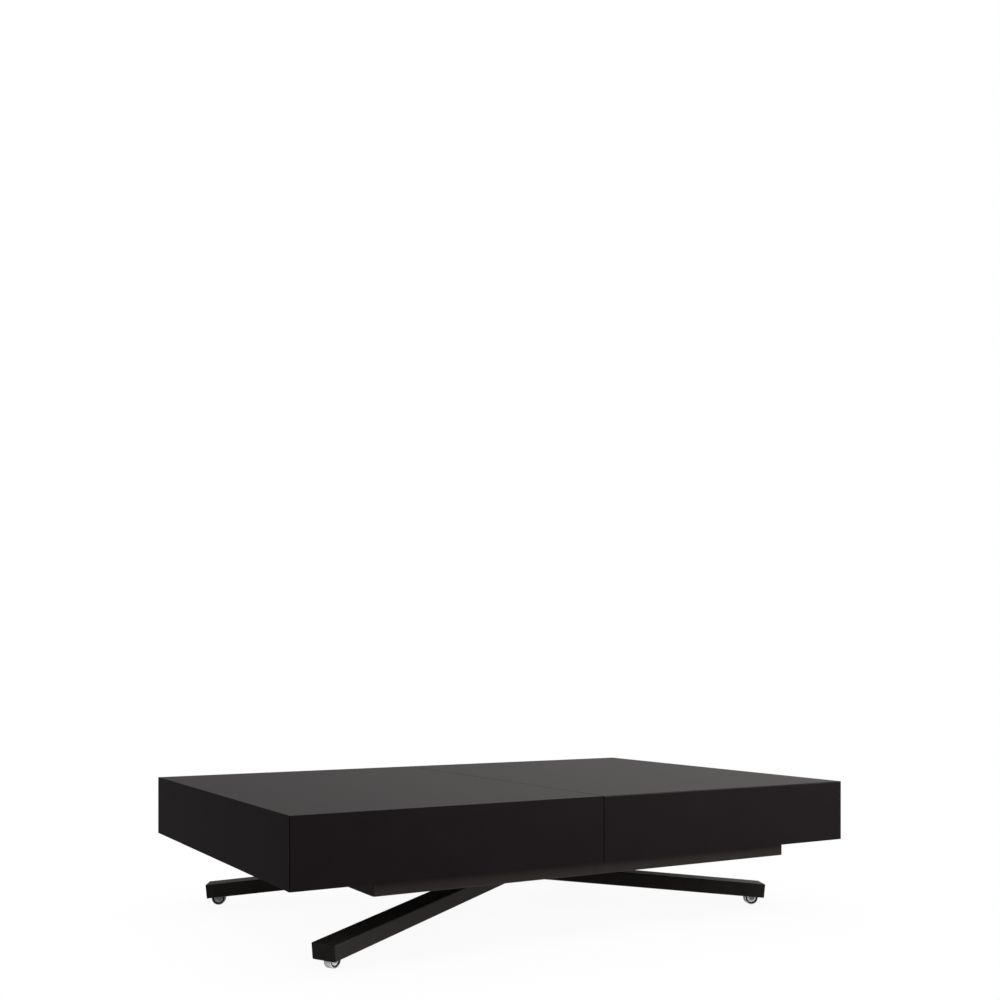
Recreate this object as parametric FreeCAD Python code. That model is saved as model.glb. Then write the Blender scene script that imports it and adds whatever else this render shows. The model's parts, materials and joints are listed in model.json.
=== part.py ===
# An extendable coffee table, in millimetres, closed and at its low height.
# Two deep black top halves slide apart on a steel subframe.
# A scissor of two splayed leg frames under it lifts the whole top to dining height.
# +X runs along the length, -Y is the front, +Z is up, and the origin is on the floor at the centre.
import FreeCAD, Part
import math
import os

from FreeCAD import Rotation, Vector

# Overall sizes
TABLE_LENGTH = 1250.0
TABLE_WIDTH = 844.0
TABLE_HEIGHT = 281.0
BOX_HEIGHT = 125.0
BOARD = 16.0
SEAM_GAP = 2.0
HALF_TRAVEL = 560.0
LEAF_COUNT = 3

# Subframe of rectangular tube
FRAME_SIDE_INSET = 17.0
LEAF_END_GAP = 17.0
FRAME_DROP = 25.0
RAIL_HEIGHT = 70.0
RAIL_WIDTH = 30.0
TUBE_WALL = 2.0
BEARER_X = 185.0
BEARER_WIDTH = 30.0
BEARER_HEIGHT = 20.0

# Slides of the two halves, side by side in one guide
GUIDE_BASE = 4.4
GUIDE_WALL = 4.0
GUIDE_MIDDLE_WALL = 5.0
GUIDE_HEIGHT = 55.0
GUIDE_END_GAP = 4.0
SLIDE_WIDTH = 18.0
SLIDE_CLEARANCE = 0.4
SLIDE_STEP = 0.6
SLIDE_END_GAP = 29.0
GROOVE_DEPTH = 4.4
GROOVE_HEIGHT = 8.0
DOWEL_RADIUS = 4.0
DOWEL_LENGTH = 12.0
DOWEL_HOLE_SPARE = 2.0
DOWEL_INSET = 120.0
CORNER_BLOCK = 30.0
CORNER_BLOCK_FLAT = 12.0
CORNER_BLOCK_INSET = 5.0
CORNER_BLOCK_GAP = 2.0

# Legs, of rectangular tube
LEG_WIDTH = 52.4
LEG_HEIGHT = 30.1
LEG_CORNER = 2.5
LEG_CLEARANCE = 17.0
FOOT_INSET = 91.0
OUTER_FOOT_SIDE_INSET = 80.0
INNER_FOOT_SIDE_INSET = 152.0
OUTER_LEG_HUB_Y = 68.0
INNER_LEG_HUB_Y = 33.0
CAP_PLATE = 2.0
CAP_PLUG = 4.0
CAP_FIT = 0.2

# Hub where the two leg frames cross
HUB_DROP = 39.0
KNUCKLE_RADIUS = 20.0
AXLE_RADIUS = 8.0
FIT_CLEARANCE = 0.05
KNUCKLE_GAP = 0.5
OUTER_ARM_WIDTH = 36.0
INNER_KNUCKLE_LENGTH = 40.5
OUTER_KNUCKLE_LENGTH = 40.5
HUB_TRIM = 1.5
AXLE_HEAD_RADIUS = 12.0
AXLE_HEAD = 4.0

# Upper arms, from the hub to the subframe
PIVOT_INSET = 54.0
PIVOT_RISE = 19.0
ARM_HEIGHT = 28.0
ARM_WALL = 3.0
INNER_ARM_WIDTH = 16.0
INNER_ARM_Y = 30.0
CROSS_TUBE_HALF = 138.0
PIVOT_PIN_RADIUS = 6.0
PIVOT_PIN_GRIP = 18.0
PIVOT_CHEEK = 8.0
PIVOT_CHEEK_GAP = 1.0
PIVOT_CHEEK_RADIUS = 15.0
PIN_HEAD = 3.0
PIN_HEAD_RADIUS = 9.0
BRACE_X = 85.0
BRACE_WIDTH = 20.0
BRACE_HEIGHT = 14.0
BRACE_CLEARANCE = 4.0

# Rollers of the inner frame and their channels
SHAFT_RADIUS = 10.0
STUB_RADIUS = 5.0
ROLLER_RADIUS = 12.7
ROLLER_WIDTH = 14.0
ROLLER_CLEARANCE = 0.3
ROLLER_SIDE_GAP = 1.0
CHANNEL_WALL = 3.0
CHANNEL_DEPTH = 20.0
CHANNEL_MOUTH_Y = 140.0

# Lockable gas spring and its release lever
SPRING_Y = 100.0
CYLINDER_RADIUS = 11.0
CYLINDER_WALL = 1.5
CYLINDER_END = 5.0
CYLINDER_HALF = 165.0
ROD_RADIUS = 4.0
ROD_CLEARANCE = 0.1
ROD_INSIDE = 25.0
PISTON_LENGTH = 12.0
ROD_EYE_RADIUS = 15.0
ROD_EYE_WIDTH = 16.0
SPRING_PLATE = 6.0
SPRING_PLATE_WIDTH = 20.0
SPRING_FLANGE = 4.0
BUTTON_RADIUS = 3.0
BUTTON_REACH = 2.5
LEVER_PIVOT_X = 215.0
LEVER_PIVOT_DROP = 22.0
LEVER_FINGER_X = 174.0
LEVER_THICKNESS = 4.0
LEVER_WIDTH = 20.0
LEVER_DROP = 20.0
LEVER_BEND_X = 250.0
LEVER_OVERHANG = 51.0
LEVER_EYE_RADIUS = 7.0
LEVER_PIN_RADIUS = 3.0
LEVER_FINGER_RISE = 6.0
LEVER_EAR = 2.7
LEVER_EAR_GAP = 0.6
LEVER_EAR_OVERLAP = 20.0
LEVER_EAR_RADIUS = 9.0

# Castor wheels, let into the leg ends
WHEEL_RADIUS = 15.0
WHEEL_WIDTH = 16.0
WHEEL_EDGE = 1.2
TYRE_DEPTH = 2.2
RIM_RECESS = 1.0
RIM_DISH = 1.5
RIM_RING = 2.6
WHEEL_SETBACK = 21.6
WHEEL_AXLE_RADIUS = 2.5
FORK_PLATE = 1.5
FORK_GAP = 0.8
FORK_LENGTH = 20.0
FORK_EYE = 5.0
SLOT_LENGTH = 36.0
SLOT_SPARE = 1.0

OVERRUN = 1.0
CUT_REACH = 2000.0

# Places worked out from the sizes
HALF_LENGTH = TABLE_LENGTH / 2
HALF_WIDTH = TABLE_WIDTH / 2
BOX_BOTTOM = TABLE_HEIGHT - BOX_HEIGHT
PANEL_UNDER = TABLE_HEIGHT - BOARD
FRAME_BOTTOM = BOX_BOTTOM - FRAME_DROP
FRAME_TOP = FRAME_BOTTOM + RAIL_HEIGHT
FRAME_X = HALF_WIDTH + LEAF_END_GAP + RAIL_WIDTH
FRAME_Y = HALF_WIDTH - FRAME_SIDE_INSET
FRAME_INNER_X = FRAME_X - RAIL_WIDTH
FRAME_INNER_Y = FRAME_Y - RAIL_WIDTH
LEAF_DEPTH = 2 * HALF_TRAVEL / LEAF_COUNT
DOWEL_PLACES = (DOWEL_INSET - HALF_WIDTH, HALF_WIDTH - DOWEL_INSET)

HUB_Z = FRAME_BOTTOM - HUB_DROP
PIVOT_X = FRAME_X - PIVOT_INSET
PIVOT_Z = FRAME_BOTTOM + PIVOT_RISE
ARM_LENGTH = math.hypot(PIVOT_X, PIVOT_Z - HUB_Z)
ARM_SLOPE = math.atan2(PIVOT_Z - HUB_Z, PIVOT_X)
CHANNEL_HALF_HEIGHT = ROLLER_RADIUS + ROLLER_CLEARANCE + CHANNEL_WALL
BEARER_BOTTOM = PIVOT_Z + CHANNEL_HALF_HEIGHT
BEARER_TOP = BEARER_BOTTOM + BEARER_HEIGHT

OUTER_ARM_HALF = OUTER_ARM_WIDTH / 2
INNER_KNUCKLE_Y = OUTER_ARM_HALF + KNUCKLE_GAP
OUTER_KNUCKLE_Y = INNER_KNUCKLE_Y + INNER_KNUCKLE_LENGTH + KNUCKLE_GAP
HUB_END_Y = OUTER_KNUCKLE_Y + OUTER_KNUCKLE_LENGTH
TRIM_X = KNUCKLE_RADIUS + HUB_TRIM

FOOT_X = HALF_LENGTH - FOOT_INSET
FOOT_Z = LEG_CLEARANCE + LEG_HEIGHT / 2
OUTER_FOOT_Y = HALF_WIDTH - OUTER_FOOT_SIDE_INSET
INNER_FOOT_Y = HALF_WIDTH - INNER_FOOT_SIDE_INSET

SLIDE_REACH = FRAME_X - SLIDE_END_GAP
SLIDE_TOP = PANEL_UNDER
SLIDE_BOTTOM = FRAME_TOP + GUIDE_BASE
CHANNEL_WIDTH = SLIDE_WIDTH + 2 * SLIDE_CLEARANCE
LEFT_SLIDE_Y = FRAME_Y - GUIDE_WALL - CHANNEL_WIDTH / 2
RIGHT_SLIDE_Y = LEFT_SLIDE_Y - CHANNEL_WIDTH - GUIDE_MIDDLE_WALL
GUIDE_INNER_Y = RIGHT_SLIDE_Y - CHANNEL_WIDTH / 2 - GUIDE_WALL

UP = Vector(0, 0, 1)
ALONG_X = Vector(1, 0, 0)
ALONG_Y = Vector(0, 1, 0)
ORIGIN = Vector(0, 0, 0)

parts = {}


def block(x0, x1, y0, y1, z0, z1):
    """A rectangular block between its low and high corners."""
    return Part.makeBox(x1 - x0, y1 - y0, z1 - z0, Vector(x0, y0, z0))


def cross_rod(radius, x, y0, y1, z):
    """A round bar that lies across the table, from y0 to y1."""
    return Part.makeCylinder(radius, y1 - y0, Vector(x, y0, z), ALONG_Y)


def long_rod(radius, x0, x1, y, z):
    """A round bar that lies along the table, from x0 to x1."""
    return Part.makeCylinder(radius, x1 - x0, Vector(x0, y, z), ALONG_X)


def flip_y(shape):
    """The same piece on the other side of the table's long centre line."""
    return shape.mirror(ORIGIN, ALONG_Y)


def flip_x(shape):
    """The same piece at the other end of the table."""
    return shape.mirror(ORIGIN, ALONG_X)


def slab_between(outer, inner):
    """A board whose large face is the outline outer and whose back is the smaller outline inner.
    The bevel between the two is the mitre that meets the next board."""
    outlines = [outer, inner]
    for i, corner in enumerate(outer):
        outlines.append([outer[i - 1], corner, inner[i], inner[i - 1]])
    faces = [Part.Face(Part.makePolygon(points + points[:1])) for points in outlines]
    slab = Part.makeSolid(Part.makeShell(faces))
    return slab.reversed() if slab.Volume < 0 else slab


# The two top halves

def top_panel():
    x1 = -SEAM_GAP / 2
    outer = [Vector(x, y, TABLE_HEIGHT) for x, y in (
        (-HALF_LENGTH, -HALF_WIDTH), (x1, -HALF_WIDTH), (x1, HALF_WIDTH), (-HALF_LENGTH, HALF_WIDTH))]
    inner_x = -HALF_LENGTH + BOARD
    inner_y = HALF_WIDTH - BOARD
    inner = [Vector(x, y, PANEL_UNDER) for x, y in (
        (inner_x, -inner_y), (x1, -inner_y), (x1, inner_y), (inner_x, inner_y))]
    return slab_between(outer, inner)


def front_board():
    x1 = -SEAM_GAP / 2
    y_out, y_in = -HALF_WIDTH, -HALF_WIDTH + BOARD
    outer = [Vector(x, y_out, z) for x, z in (
        (-HALF_LENGTH, BOX_BOTTOM), (x1, BOX_BOTTOM), (x1, TABLE_HEIGHT), (-HALF_LENGTH, TABLE_HEIGHT))]
    inner_x = -HALF_LENGTH + BOARD
    inner = [Vector(x, y_in, z) for x, z in (
        (inner_x, BOX_BOTTOM), (x1, BOX_BOTTOM), (x1, PANEL_UNDER), (inner_x, PANEL_UNDER))]
    return slab_between(outer, inner)


def end_board():
    x_out, x_in = -HALF_LENGTH, -HALF_LENGTH + BOARD
    inner_y = HALF_WIDTH - BOARD
    outer = [Vector(x_out, y, z) for y, z in (
        (-HALF_WIDTH, BOX_BOTTOM), (HALF_WIDTH, BOX_BOTTOM), (HALF_WIDTH, TABLE_HEIGHT), (-HALF_WIDTH, TABLE_HEIGHT))]
    inner = [Vector(x_in, y, z) for y, z in (
        (-inner_y, BOX_BOTTOM), (inner_y, BOX_BOTTOM), (inner_y, PANEL_UNDER), (-inner_y, PANEL_UNDER))]
    return slab_between(outer, inner)


def corner_block():
    """The block that stiffens a lower corner of the box: under the slide, in the corner of the end
    board and the front board, with its inner corner cut off."""
    x0, y0 = -HALF_LENGTH + BOARD, -HALF_WIDTH + BOARD
    z0 = BOX_BOTTOM + CORNER_BLOCK_INSET
    z1 = SLIDE_BOTTOM - CORNER_BLOCK_GAP
    outline = [Vector(x0 + x, y0 + y, z0) for x, y in (
        (0, 0), (CORNER_BLOCK, 0), (CORNER_BLOCK, CORNER_BLOCK_FLAT), (CORNER_BLOCK_FLAT, CORNER_BLOCK), (0, CORNER_BLOCK))]
    return Part.Face(Part.makePolygon(outline + outline[:1])).extrude(Vector(0, 0, z1 - z0))


def dowel_rows(radius, x0, x1):
    """A round bar at each dowel place in the edge of the top panel, at mid thickness."""
    z = TABLE_HEIGHT - BOARD / 2
    return [long_rod(radius, x0, x1, y, z) for y in DOWEL_PLACES]


def slide_outline(y, z0, z1, x, grow):
    """The grooved section of a slide, as a face at x. With grow it is the channel that the slide
    runs in: wider at the sides, lower at the foot, and with tongues thinner than the grooves."""
    side = SLIDE_WIDTH / 2 + grow
    root = side - GROOVE_DEPTH
    middle = (SLIDE_BOTTOM + FRAME_TOP + GUIDE_HEIGHT) / 2
    low = middle - GROOVE_HEIGHT / 2 + grow
    high = middle + GROOVE_HEIGHT / 2 - grow
    half = [(side, z0), (side, low), (root, low), (root, high), (side, high), (side, z1)]
    section = half + [(-across, z) for across, z in reversed(half)]
    points = [Vector(x, y + across, z) for across, z in section]
    return Part.Face(Part.makePolygon(points + points[:1]))


def slide_bar(y):
    """The long grooved bar under a half. Past the seam it is a little lower, so that it clears
    the other half's panel and carries the leaves when the table is long."""
    x0 = -HALF_LENGTH + BOARD
    bar = slide_outline(y, SLIDE_BOTTOM, SLIDE_TOP, x0, 0).extrude(Vector(SLIDE_REACH - x0, 0, 0))
    step = block(-SEAM_GAP / 2 - OVERRUN, SLIDE_REACH + OVERRUN, y - SLIDE_WIDTH, y + SLIDE_WIDTH,
                 SLIDE_TOP - SLIDE_STEP, SLIDE_TOP + OVERRUN)
    return bar.cut(step)


def add_top_halves():
    panel = top_panel()
    front = front_board()
    corner = corner_block()
    end = end_board().fuse([corner, flip_y(corner)]).removeSplitter()
    x1 = -SEAM_GAP / 2
    bored = panel
    for hole in dowel_rows(DOWEL_RADIUS + FIT_CLEARANCE, x1 - DOWEL_LENGTH, x1 + OVERRUN):
        bored = bored.cut(hole)
    parts["left_top_panel"] = bored
    parts["left_front_board"] = front
    parts["left_back_board"] = flip_y(front)
    parts["left_end_board"] = end
    parts["left_front_slide"] = slide_bar(-LEFT_SLIDE_Y)
    parts["left_back_slide"] = slide_bar(LEFT_SLIDE_Y)
    parts["left_dowels"] = Part.makeCompound(dowel_rows(DOWEL_RADIUS, x1 - DOWEL_LENGTH, -x1 + DOWEL_LENGTH))
    socket_end = -x1 + DOWEL_LENGTH + DOWEL_HOLE_SPARE
    bored = flip_x(panel)
    for hole in dowel_rows(DOWEL_RADIUS + SLIDE_CLEARANCE, -x1 - OVERRUN, socket_end):
        bored = bored.cut(hole)
    parts["right_top_panel"] = bored
    parts["right_front_board"] = flip_x(front)
    parts["right_back_board"] = flip_x(flip_y(front))
    parts["right_end_board"] = flip_x(end)
    parts["right_front_slide"] = flip_x(slide_bar(-RIGHT_SLIDE_Y))
    parts["right_back_slide"] = flip_x(slide_bar(RIGHT_SLIDE_Y))


# The subframe

def long_rail():
    """The front rail: a tube with mitred ends."""
    outer = [Vector(x, -FRAME_Y, z) for x, z in (
        (-FRAME_X, FRAME_BOTTOM), (FRAME_X, FRAME_BOTTOM), (FRAME_X, FRAME_TOP), (-FRAME_X, FRAME_TOP))]
    inner = [Vector(x, -FRAME_INNER_Y, z) for x, z in (
        (-FRAME_INNER_X, FRAME_BOTTOM), (FRAME_INNER_X, FRAME_BOTTOM),
        (FRAME_INNER_X, FRAME_TOP), (-FRAME_INNER_X, FRAME_TOP))]
    bore = block(-HALF_LENGTH, HALF_LENGTH, -FRAME_Y + TUBE_WALL, -FRAME_INNER_Y - TUBE_WALL,
                 FRAME_BOTTOM + TUBE_WALL, FRAME_TOP - TUBE_WALL)
    return slab_between(outer, inner).cut(bore)


def end_rail():
    """The left rail: a tube with mitred ends."""
    outer = [Vector(-FRAME_X, y, z) for y, z in (
        (-FRAME_Y, FRAME_BOTTOM), (FRAME_Y, FRAME_BOTTOM), (FRAME_Y, FRAME_TOP), (-FRAME_Y, FRAME_TOP))]
    inner = [Vector(-FRAME_INNER_X, y, z) for y, z in (
        (-FRAME_INNER_Y, FRAME_BOTTOM), (FRAME_INNER_Y, FRAME_BOTTOM),
        (FRAME_INNER_Y, FRAME_TOP), (-FRAME_INNER_Y, FRAME_TOP))]
    bore = block(-FRAME_X + TUBE_WALL, -FRAME_INNER_X - TUBE_WALL, -HALF_WIDTH, HALF_WIDTH,
                 FRAME_BOTTOM + TUBE_WALL, FRAME_TOP - TUBE_WALL)
    return slab_between(outer, inner).cut(bore)


def bearer(x):
    """A cross tube that stiffens the subframe and carries the stored leaves."""
    x0, x1 = x - BEARER_WIDTH / 2, x + BEARER_WIDTH / 2
    tube = block(x0, x1, -FRAME_INNER_Y, FRAME_INNER_Y, BEARER_BOTTOM, BEARER_TOP)
    bore = block(x0 + TUBE_WALL, x1 - TUBE_WALL, -HALF_WIDTH, HALF_WIDTH,
                 BEARER_BOTTOM + TUBE_WALL, BEARER_TOP - TUBE_WALL)
    return tube.cut(bore)


def slide_guide():
    """The back guide: one extrusion with a channel for each half's slide."""
    top = FRAME_TOP + GUIDE_HEIGHT
    length = FRAME_X - GUIDE_END_GAP
    guide = block(-length, length, GUIDE_INNER_Y, FRAME_Y, FRAME_TOP, top)
    for y in (LEFT_SLIDE_Y, RIGHT_SLIDE_Y):
        channel = slide_outline(y, SLIDE_BOTTOM - SLIDE_CLEARANCE, top + OVERRUN, -HALF_LENGTH, SLIDE_CLEARANCE)
        guide = guide.cut(channel.extrude(Vector(TABLE_LENGTH, 0, 0)))
    return guide


def roller_channel():
    """The back channel, open towards the middle of the table, in which a roller runs."""
    x0 = -FRAME_INNER_X
    x1 = -BEARER_X + BEARER_WIDTH / 2
    y0, y1 = CHANNEL_MOUTH_Y, CHANNEL_MOUTH_Y + CHANNEL_DEPTH
    body = block(x0, x1, y0, y1, PIVOT_Z - CHANNEL_HALF_HEIGHT, PIVOT_Z + CHANNEL_HALF_HEIGHT)
    track = CHANNEL_HALF_HEIGHT - CHANNEL_WALL
    hollow = block(x0 - OVERRUN, x1 + OVERRUN, y0 - OVERRUN, y1 - CHANNEL_WALL, PIVOT_Z - track, PIVOT_Z + track)
    return body.cut(hollow)


def pivot_bracket():
    """The back cheek that holds the outer frame's top pivot, welded inside the right rail."""
    y0 = CROSS_TUBE_HALF + PIVOT_CHEEK_GAP
    y1 = y0 + PIVOT_CHEEK
    plate = block(PIVOT_X, FRAME_INNER_X, y0, y1, PIVOT_Z - PIVOT_CHEEK_RADIUS, PIVOT_Z + PIVOT_CHEEK_RADIUS)
    cheek = plate.fuse(cross_rod(PIVOT_CHEEK_RADIUS, PIVOT_X, y0, y1, PIVOT_Z)).removeSplitter()
    return cheek.cut(cross_rod(PIVOT_PIN_RADIUS + FIT_CLEARANCE, PIVOT_X, y0 - OVERRUN, y1 + OVERRUN, PIVOT_Z))


def pivot_pin():
    """The back pivot pin, with a head outside its cheek."""
    y0 = CROSS_TUBE_HALF - PIVOT_PIN_GRIP
    y1 = CROSS_TUBE_HALF + PIVOT_CHEEK_GAP + PIVOT_CHEEK
    head = cross_rod(PIN_HEAD_RADIUS, PIVOT_X, y1, y1 + PIN_HEAD, PIVOT_Z)
    return cross_rod(PIVOT_PIN_RADIUS, PIVOT_X, y0, y1, PIVOT_Z).fuse(head)


def gas_spring_cylinder():
    """The cylinder of the gas spring, bored at the left for its rod and at the right for its button."""
    y = -SPRING_Y
    body = long_rod(CYLINDER_RADIUS, -CYLINDER_HALF, CYLINDER_HALF, y, PIVOT_Z)
    bore = long_rod(CYLINDER_RADIUS - CYLINDER_WALL, -CYLINDER_HALF + CYLINDER_END,
                    CYLINDER_HALF - CYLINDER_END, y, PIVOT_Z)
    mouth = long_rod(ROD_RADIUS + ROD_CLEARANCE, -CYLINDER_HALF - OVERRUN, 0, y, PIVOT_Z)
    button_hole = long_rod(BUTTON_RADIUS + FIT_CLEARANCE, 0, CYLINDER_HALF + OVERRUN, y, PIVOT_Z)
    return body.cut(bore).cut(mouth).cut(button_hole)


def gas_spring_button():
    """The release button, from inside the cylinder's end wall to just short of the lever's finger."""
    x0 = CYLINDER_HALF - CYLINDER_END + OVERRUN
    return long_rod(BUTTON_RADIUS, x0, CYLINDER_HALF + SPRING_PLATE + BUTTON_REACH, -SPRING_Y, PIVOT_Z)


def gas_spring_bracket():
    """The angle that carries the fixed end of the gas spring under the right bearer."""
    y0, y1 = -SPRING_Y - SPRING_PLATE_WIDTH / 2, -SPRING_Y + SPRING_PLATE_WIDTH / 2
    plate = block(CYLINDER_HALF, CYLINDER_HALF + SPRING_PLATE, y0, y1, PIVOT_Z - CYLINDER_RADIUS, BEARER_BOTTOM)
    flange = block(CYLINDER_HALF, BEARER_X + BEARER_WIDTH / 2, y0, y1, BEARER_BOTTOM - SPRING_FLANGE, BEARER_BOTTOM)
    hole = long_rod(BUTTON_RADIUS + FIT_CLEARANCE, CYLINDER_HALF - OVERRUN,
                    CYLINDER_HALF + SPRING_PLATE + OVERRUN, -SPRING_Y, PIVOT_Z)
    return plate.fuse(flange).removeSplitter().cut(hole)


def lever_bracket():
    """Two ears under the right bearer, with the pin that the release lever turns on."""
    z = PIVOT_Z - LEVER_PIVOT_DROP
    ears = []
    for inner in (LEVER_WIDTH / 2 + LEVER_EAR_GAP, -LEVER_WIDTH / 2 - LEVER_EAR_GAP - LEVER_EAR):
        y0 = -SPRING_Y + inner
        x_far = BEARER_X + BEARER_WIDTH / 2
        outline = [
            Vector(x_far - LEVER_EAR_OVERLAP, y0, BEARER_BOTTOM),
            Vector(x_far - LEVER_EAR_OVERLAP, y0, PIVOT_Z),
            Vector(LEVER_PIVOT_X - LEVER_EAR_RADIUS, y0, z),
            Vector(LEVER_PIVOT_X + LEVER_EAR_RADIUS, y0, z),
            Vector(LEVER_PIVOT_X + LEVER_EAR_RADIUS, y0, PIVOT_Z),
            Vector(x_far, y0, BEARER_BOTTOM),
        ]
        plate = Part.Face(Part.makePolygon(outline + outline[:1])).extrude(Vector(0, LEVER_EAR, 0))
        eye = cross_rod(LEVER_EAR_RADIUS, LEVER_PIVOT_X, y0, y0 + LEVER_EAR, z)
        ears.append(plate.fuse(eye))
    reach = LEVER_WIDTH / 2 + LEVER_EAR_GAP + LEVER_EAR
    pin = cross_rod(LEVER_PIN_RADIUS, LEVER_PIVOT_X, -SPRING_Y - reach, -SPRING_Y + reach, z)
    return ears[0].fuse([ears[1], pin]).removeSplitter()


def stored_leaf(level):
    """An extension leaf, turned lengthways and lying in the stack on the bearers. Dowels stand out
    of its back edge, and its front edge has the holes for the next leaf's dowels."""
    z0 = BEARER_TOP + level * BOARD
    z = z0 + BOARD / 2
    edge = LEAF_DEPTH / 2
    leaf = block(-HALF_WIDTH, HALF_WIDTH, -edge, edge, z0, z0 + BOARD)
    for x in DOWEL_PLACES:
        leaf = leaf.fuse(cross_rod(DOWEL_RADIUS, x, edge, edge + DOWEL_LENGTH, z))
        hole_end = -edge + DOWEL_LENGTH + DOWEL_HOLE_SPARE
        leaf = leaf.cut(cross_rod(DOWEL_RADIUS + SLIDE_CLEARANCE, x, -edge - OVERRUN, hole_end, z))
    return leaf


def add_subframe():
    front = long_rail()
    left = end_rail()
    guide = slide_guide()
    channel = roller_channel()
    bracket = pivot_bracket()
    pin = pivot_pin()
    parts["frame_front_rail"] = front
    parts["frame_back_rail"] = flip_y(front)
    parts["frame_left_rail"] = left
    parts["frame_right_rail"] = flip_x(left)
    parts["left_leaf_bearer"] = bearer(-BEARER_X)
    parts["right_leaf_bearer"] = bearer(BEARER_X)
    parts["back_slide_guide"] = guide
    parts["front_slide_guide"] = flip_y(guide)
    parts["roller_channels"] = Part.makeCompound([channel, flip_y(channel)])
    parts["pivot_brackets"] = Part.makeCompound([bracket, flip_y(bracket)])
    parts["pivot_pins"] = Part.makeCompound([pin, flip_y(pin)])
    parts["gas_spring_cylinder"] = gas_spring_cylinder()
    parts["gas_spring_button"] = gas_spring_button()
    parts["gas_spring_bracket"] = gas_spring_bracket()
    parts["lever_bracket"] = lever_bracket()
    for level, name in enumerate(("lower_leaf", "middle_leaf", "upper_leaf")):
        parts[name] = stored_leaf(level)


# The leg frames

def leg_axes(foot, hub):
    """The placement of a leg: local X runs from the foot to the hub, Y is level, Z is square to both."""
    run = (hub - foot).normalize()
    side = UP.cross(run).normalize()
    return FreeCAD.Placement(foot, Rotation(run, side, run.cross(side), "XYZ"))


def rounded_bar(x0, x1, width, height, corner):
    """A bar along local X with rounded long edges."""
    bar = Part.makeBox(x1 - x0, width, height, Vector(x0, -width / 2, -height / 2))
    long_edges = [edge for edge in bar.Edges if math.isclose(edge.Length, x1 - x0)]
    return bar.makeFillet(corner, long_edges)


def placed(shape, placement):
    """A copy of the shape moved from a leg's own axes to the table's."""
    moved = shape.copy()
    moved.Placement = placement.multiply(moved.Placement)
    return moved


def wheel_centre(placement):
    """How far the wheel's centre lies below the leg's centre line, in the leg's axes."""
    run = placement.Rotation.multVec(ALONG_X)
    square = placement.Rotation.multVec(UP)
    return (WHEEL_RADIUS - placement.Base.z - WHEEL_SETBACK * run.z) / square.z


def leg_length(foot, hub):
    return (hub - foot).Length


def raw_leg(foot, hub):
    """The leg tube before it is trimmed at the hub, with the wheel's slot in its underside."""
    placement = leg_axes(foot, hub)
    length = leg_length(foot, hub) + LEG_WIDTH
    tube = rounded_bar(CAP_PLATE, length, LEG_WIDTH, LEG_HEIGHT, LEG_CORNER)
    bore = Part.makeBox(length + 2 * OVERRUN, LEG_WIDTH - 2 * TUBE_WALL, LEG_HEIGHT - 2 * TUBE_WALL,
                        Vector(-OVERRUN, TUBE_WALL - LEG_WIDTH / 2, TUBE_WALL - LEG_HEIGHT / 2))
    slot_half = WHEEL_WIDTH / 2 + FORK_GAP + FORK_PLATE + SLOT_SPARE
    slot = block(WHEEL_SETBACK - SLOT_LENGTH / 2, WHEEL_SETBACK + SLOT_LENGTH / 2, -slot_half, slot_half,
                 -LEG_HEIGHT, TUBE_WALL + OVERRUN - LEG_HEIGHT / 2)
    return placed(tube.cut(bore).cut(slot), placement)


def leg_slab(foot, hub):
    """A tall slab as wide as a leg, to cut what is welded between a pair of legs."""
    slab = block(0, leg_length(foot, hub), -LEG_WIDTH / 2, LEG_WIDTH / 2, -HALF_LENGTH, HALF_LENGTH)
    return placed(slab, leg_axes(foot, hub))


def trimmed_leg(foot, hub, y0, y1, side):
    """A front leg, coped onto the hub knuckle between y0 and y1, and cut clear of the other
    knuckles and of the outer frame's middle arm. side is -1 for a leg at the left end of the
    table and 1 for one at the right end."""
    leg = raw_leg(foot, hub)
    round_hub = cross_rod(KNUCKLE_RADIUS, 0, -CUT_REACH, CUT_REACH, HUB_Z)
    reach_x = sorted((0, -side * CUT_REACH))
    beyond = block(reach_x[0], reach_x[1], -CUT_REACH, CUT_REACH, -CUT_REACH, CUT_REACH)
    clear_x = sorted((side * TRIM_X, -side * CUT_REACH))
    inside = block(clear_x[0], clear_x[1], y1, CUT_REACH, -CUT_REACH, CUT_REACH)
    outside = block(clear_x[0], clear_x[1], -CUT_REACH, y0, -CUT_REACH, CUT_REACH)
    middle = block(-CUT_REACH, CUT_REACH, -INNER_KNUCKLE_Y, CUT_REACH, -CUT_REACH, CUT_REACH)
    return leg.cut(round_hub).cut(beyond).cut(inside).cut(outside).cut(middle)


def leg_cap(foot, hub):
    """The plastic plug that closes the foot end of a leg."""
    plate = rounded_bar(0, CAP_PLATE, LEG_WIDTH, LEG_HEIGHT, LEG_CORNER)
    plug_width = LEG_WIDTH - 2 * (TUBE_WALL + CAP_FIT)
    plug_height = LEG_HEIGHT - 2 * (TUBE_WALL + CAP_FIT)
    plug = Part.makeBox(CAP_PLUG - CAP_PLATE, plug_width, plug_height,
                        Vector(CAP_PLATE, -plug_width / 2, -plug_height / 2))
    return placed(plate.fuse(plug), leg_axes(foot, hub))


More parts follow.
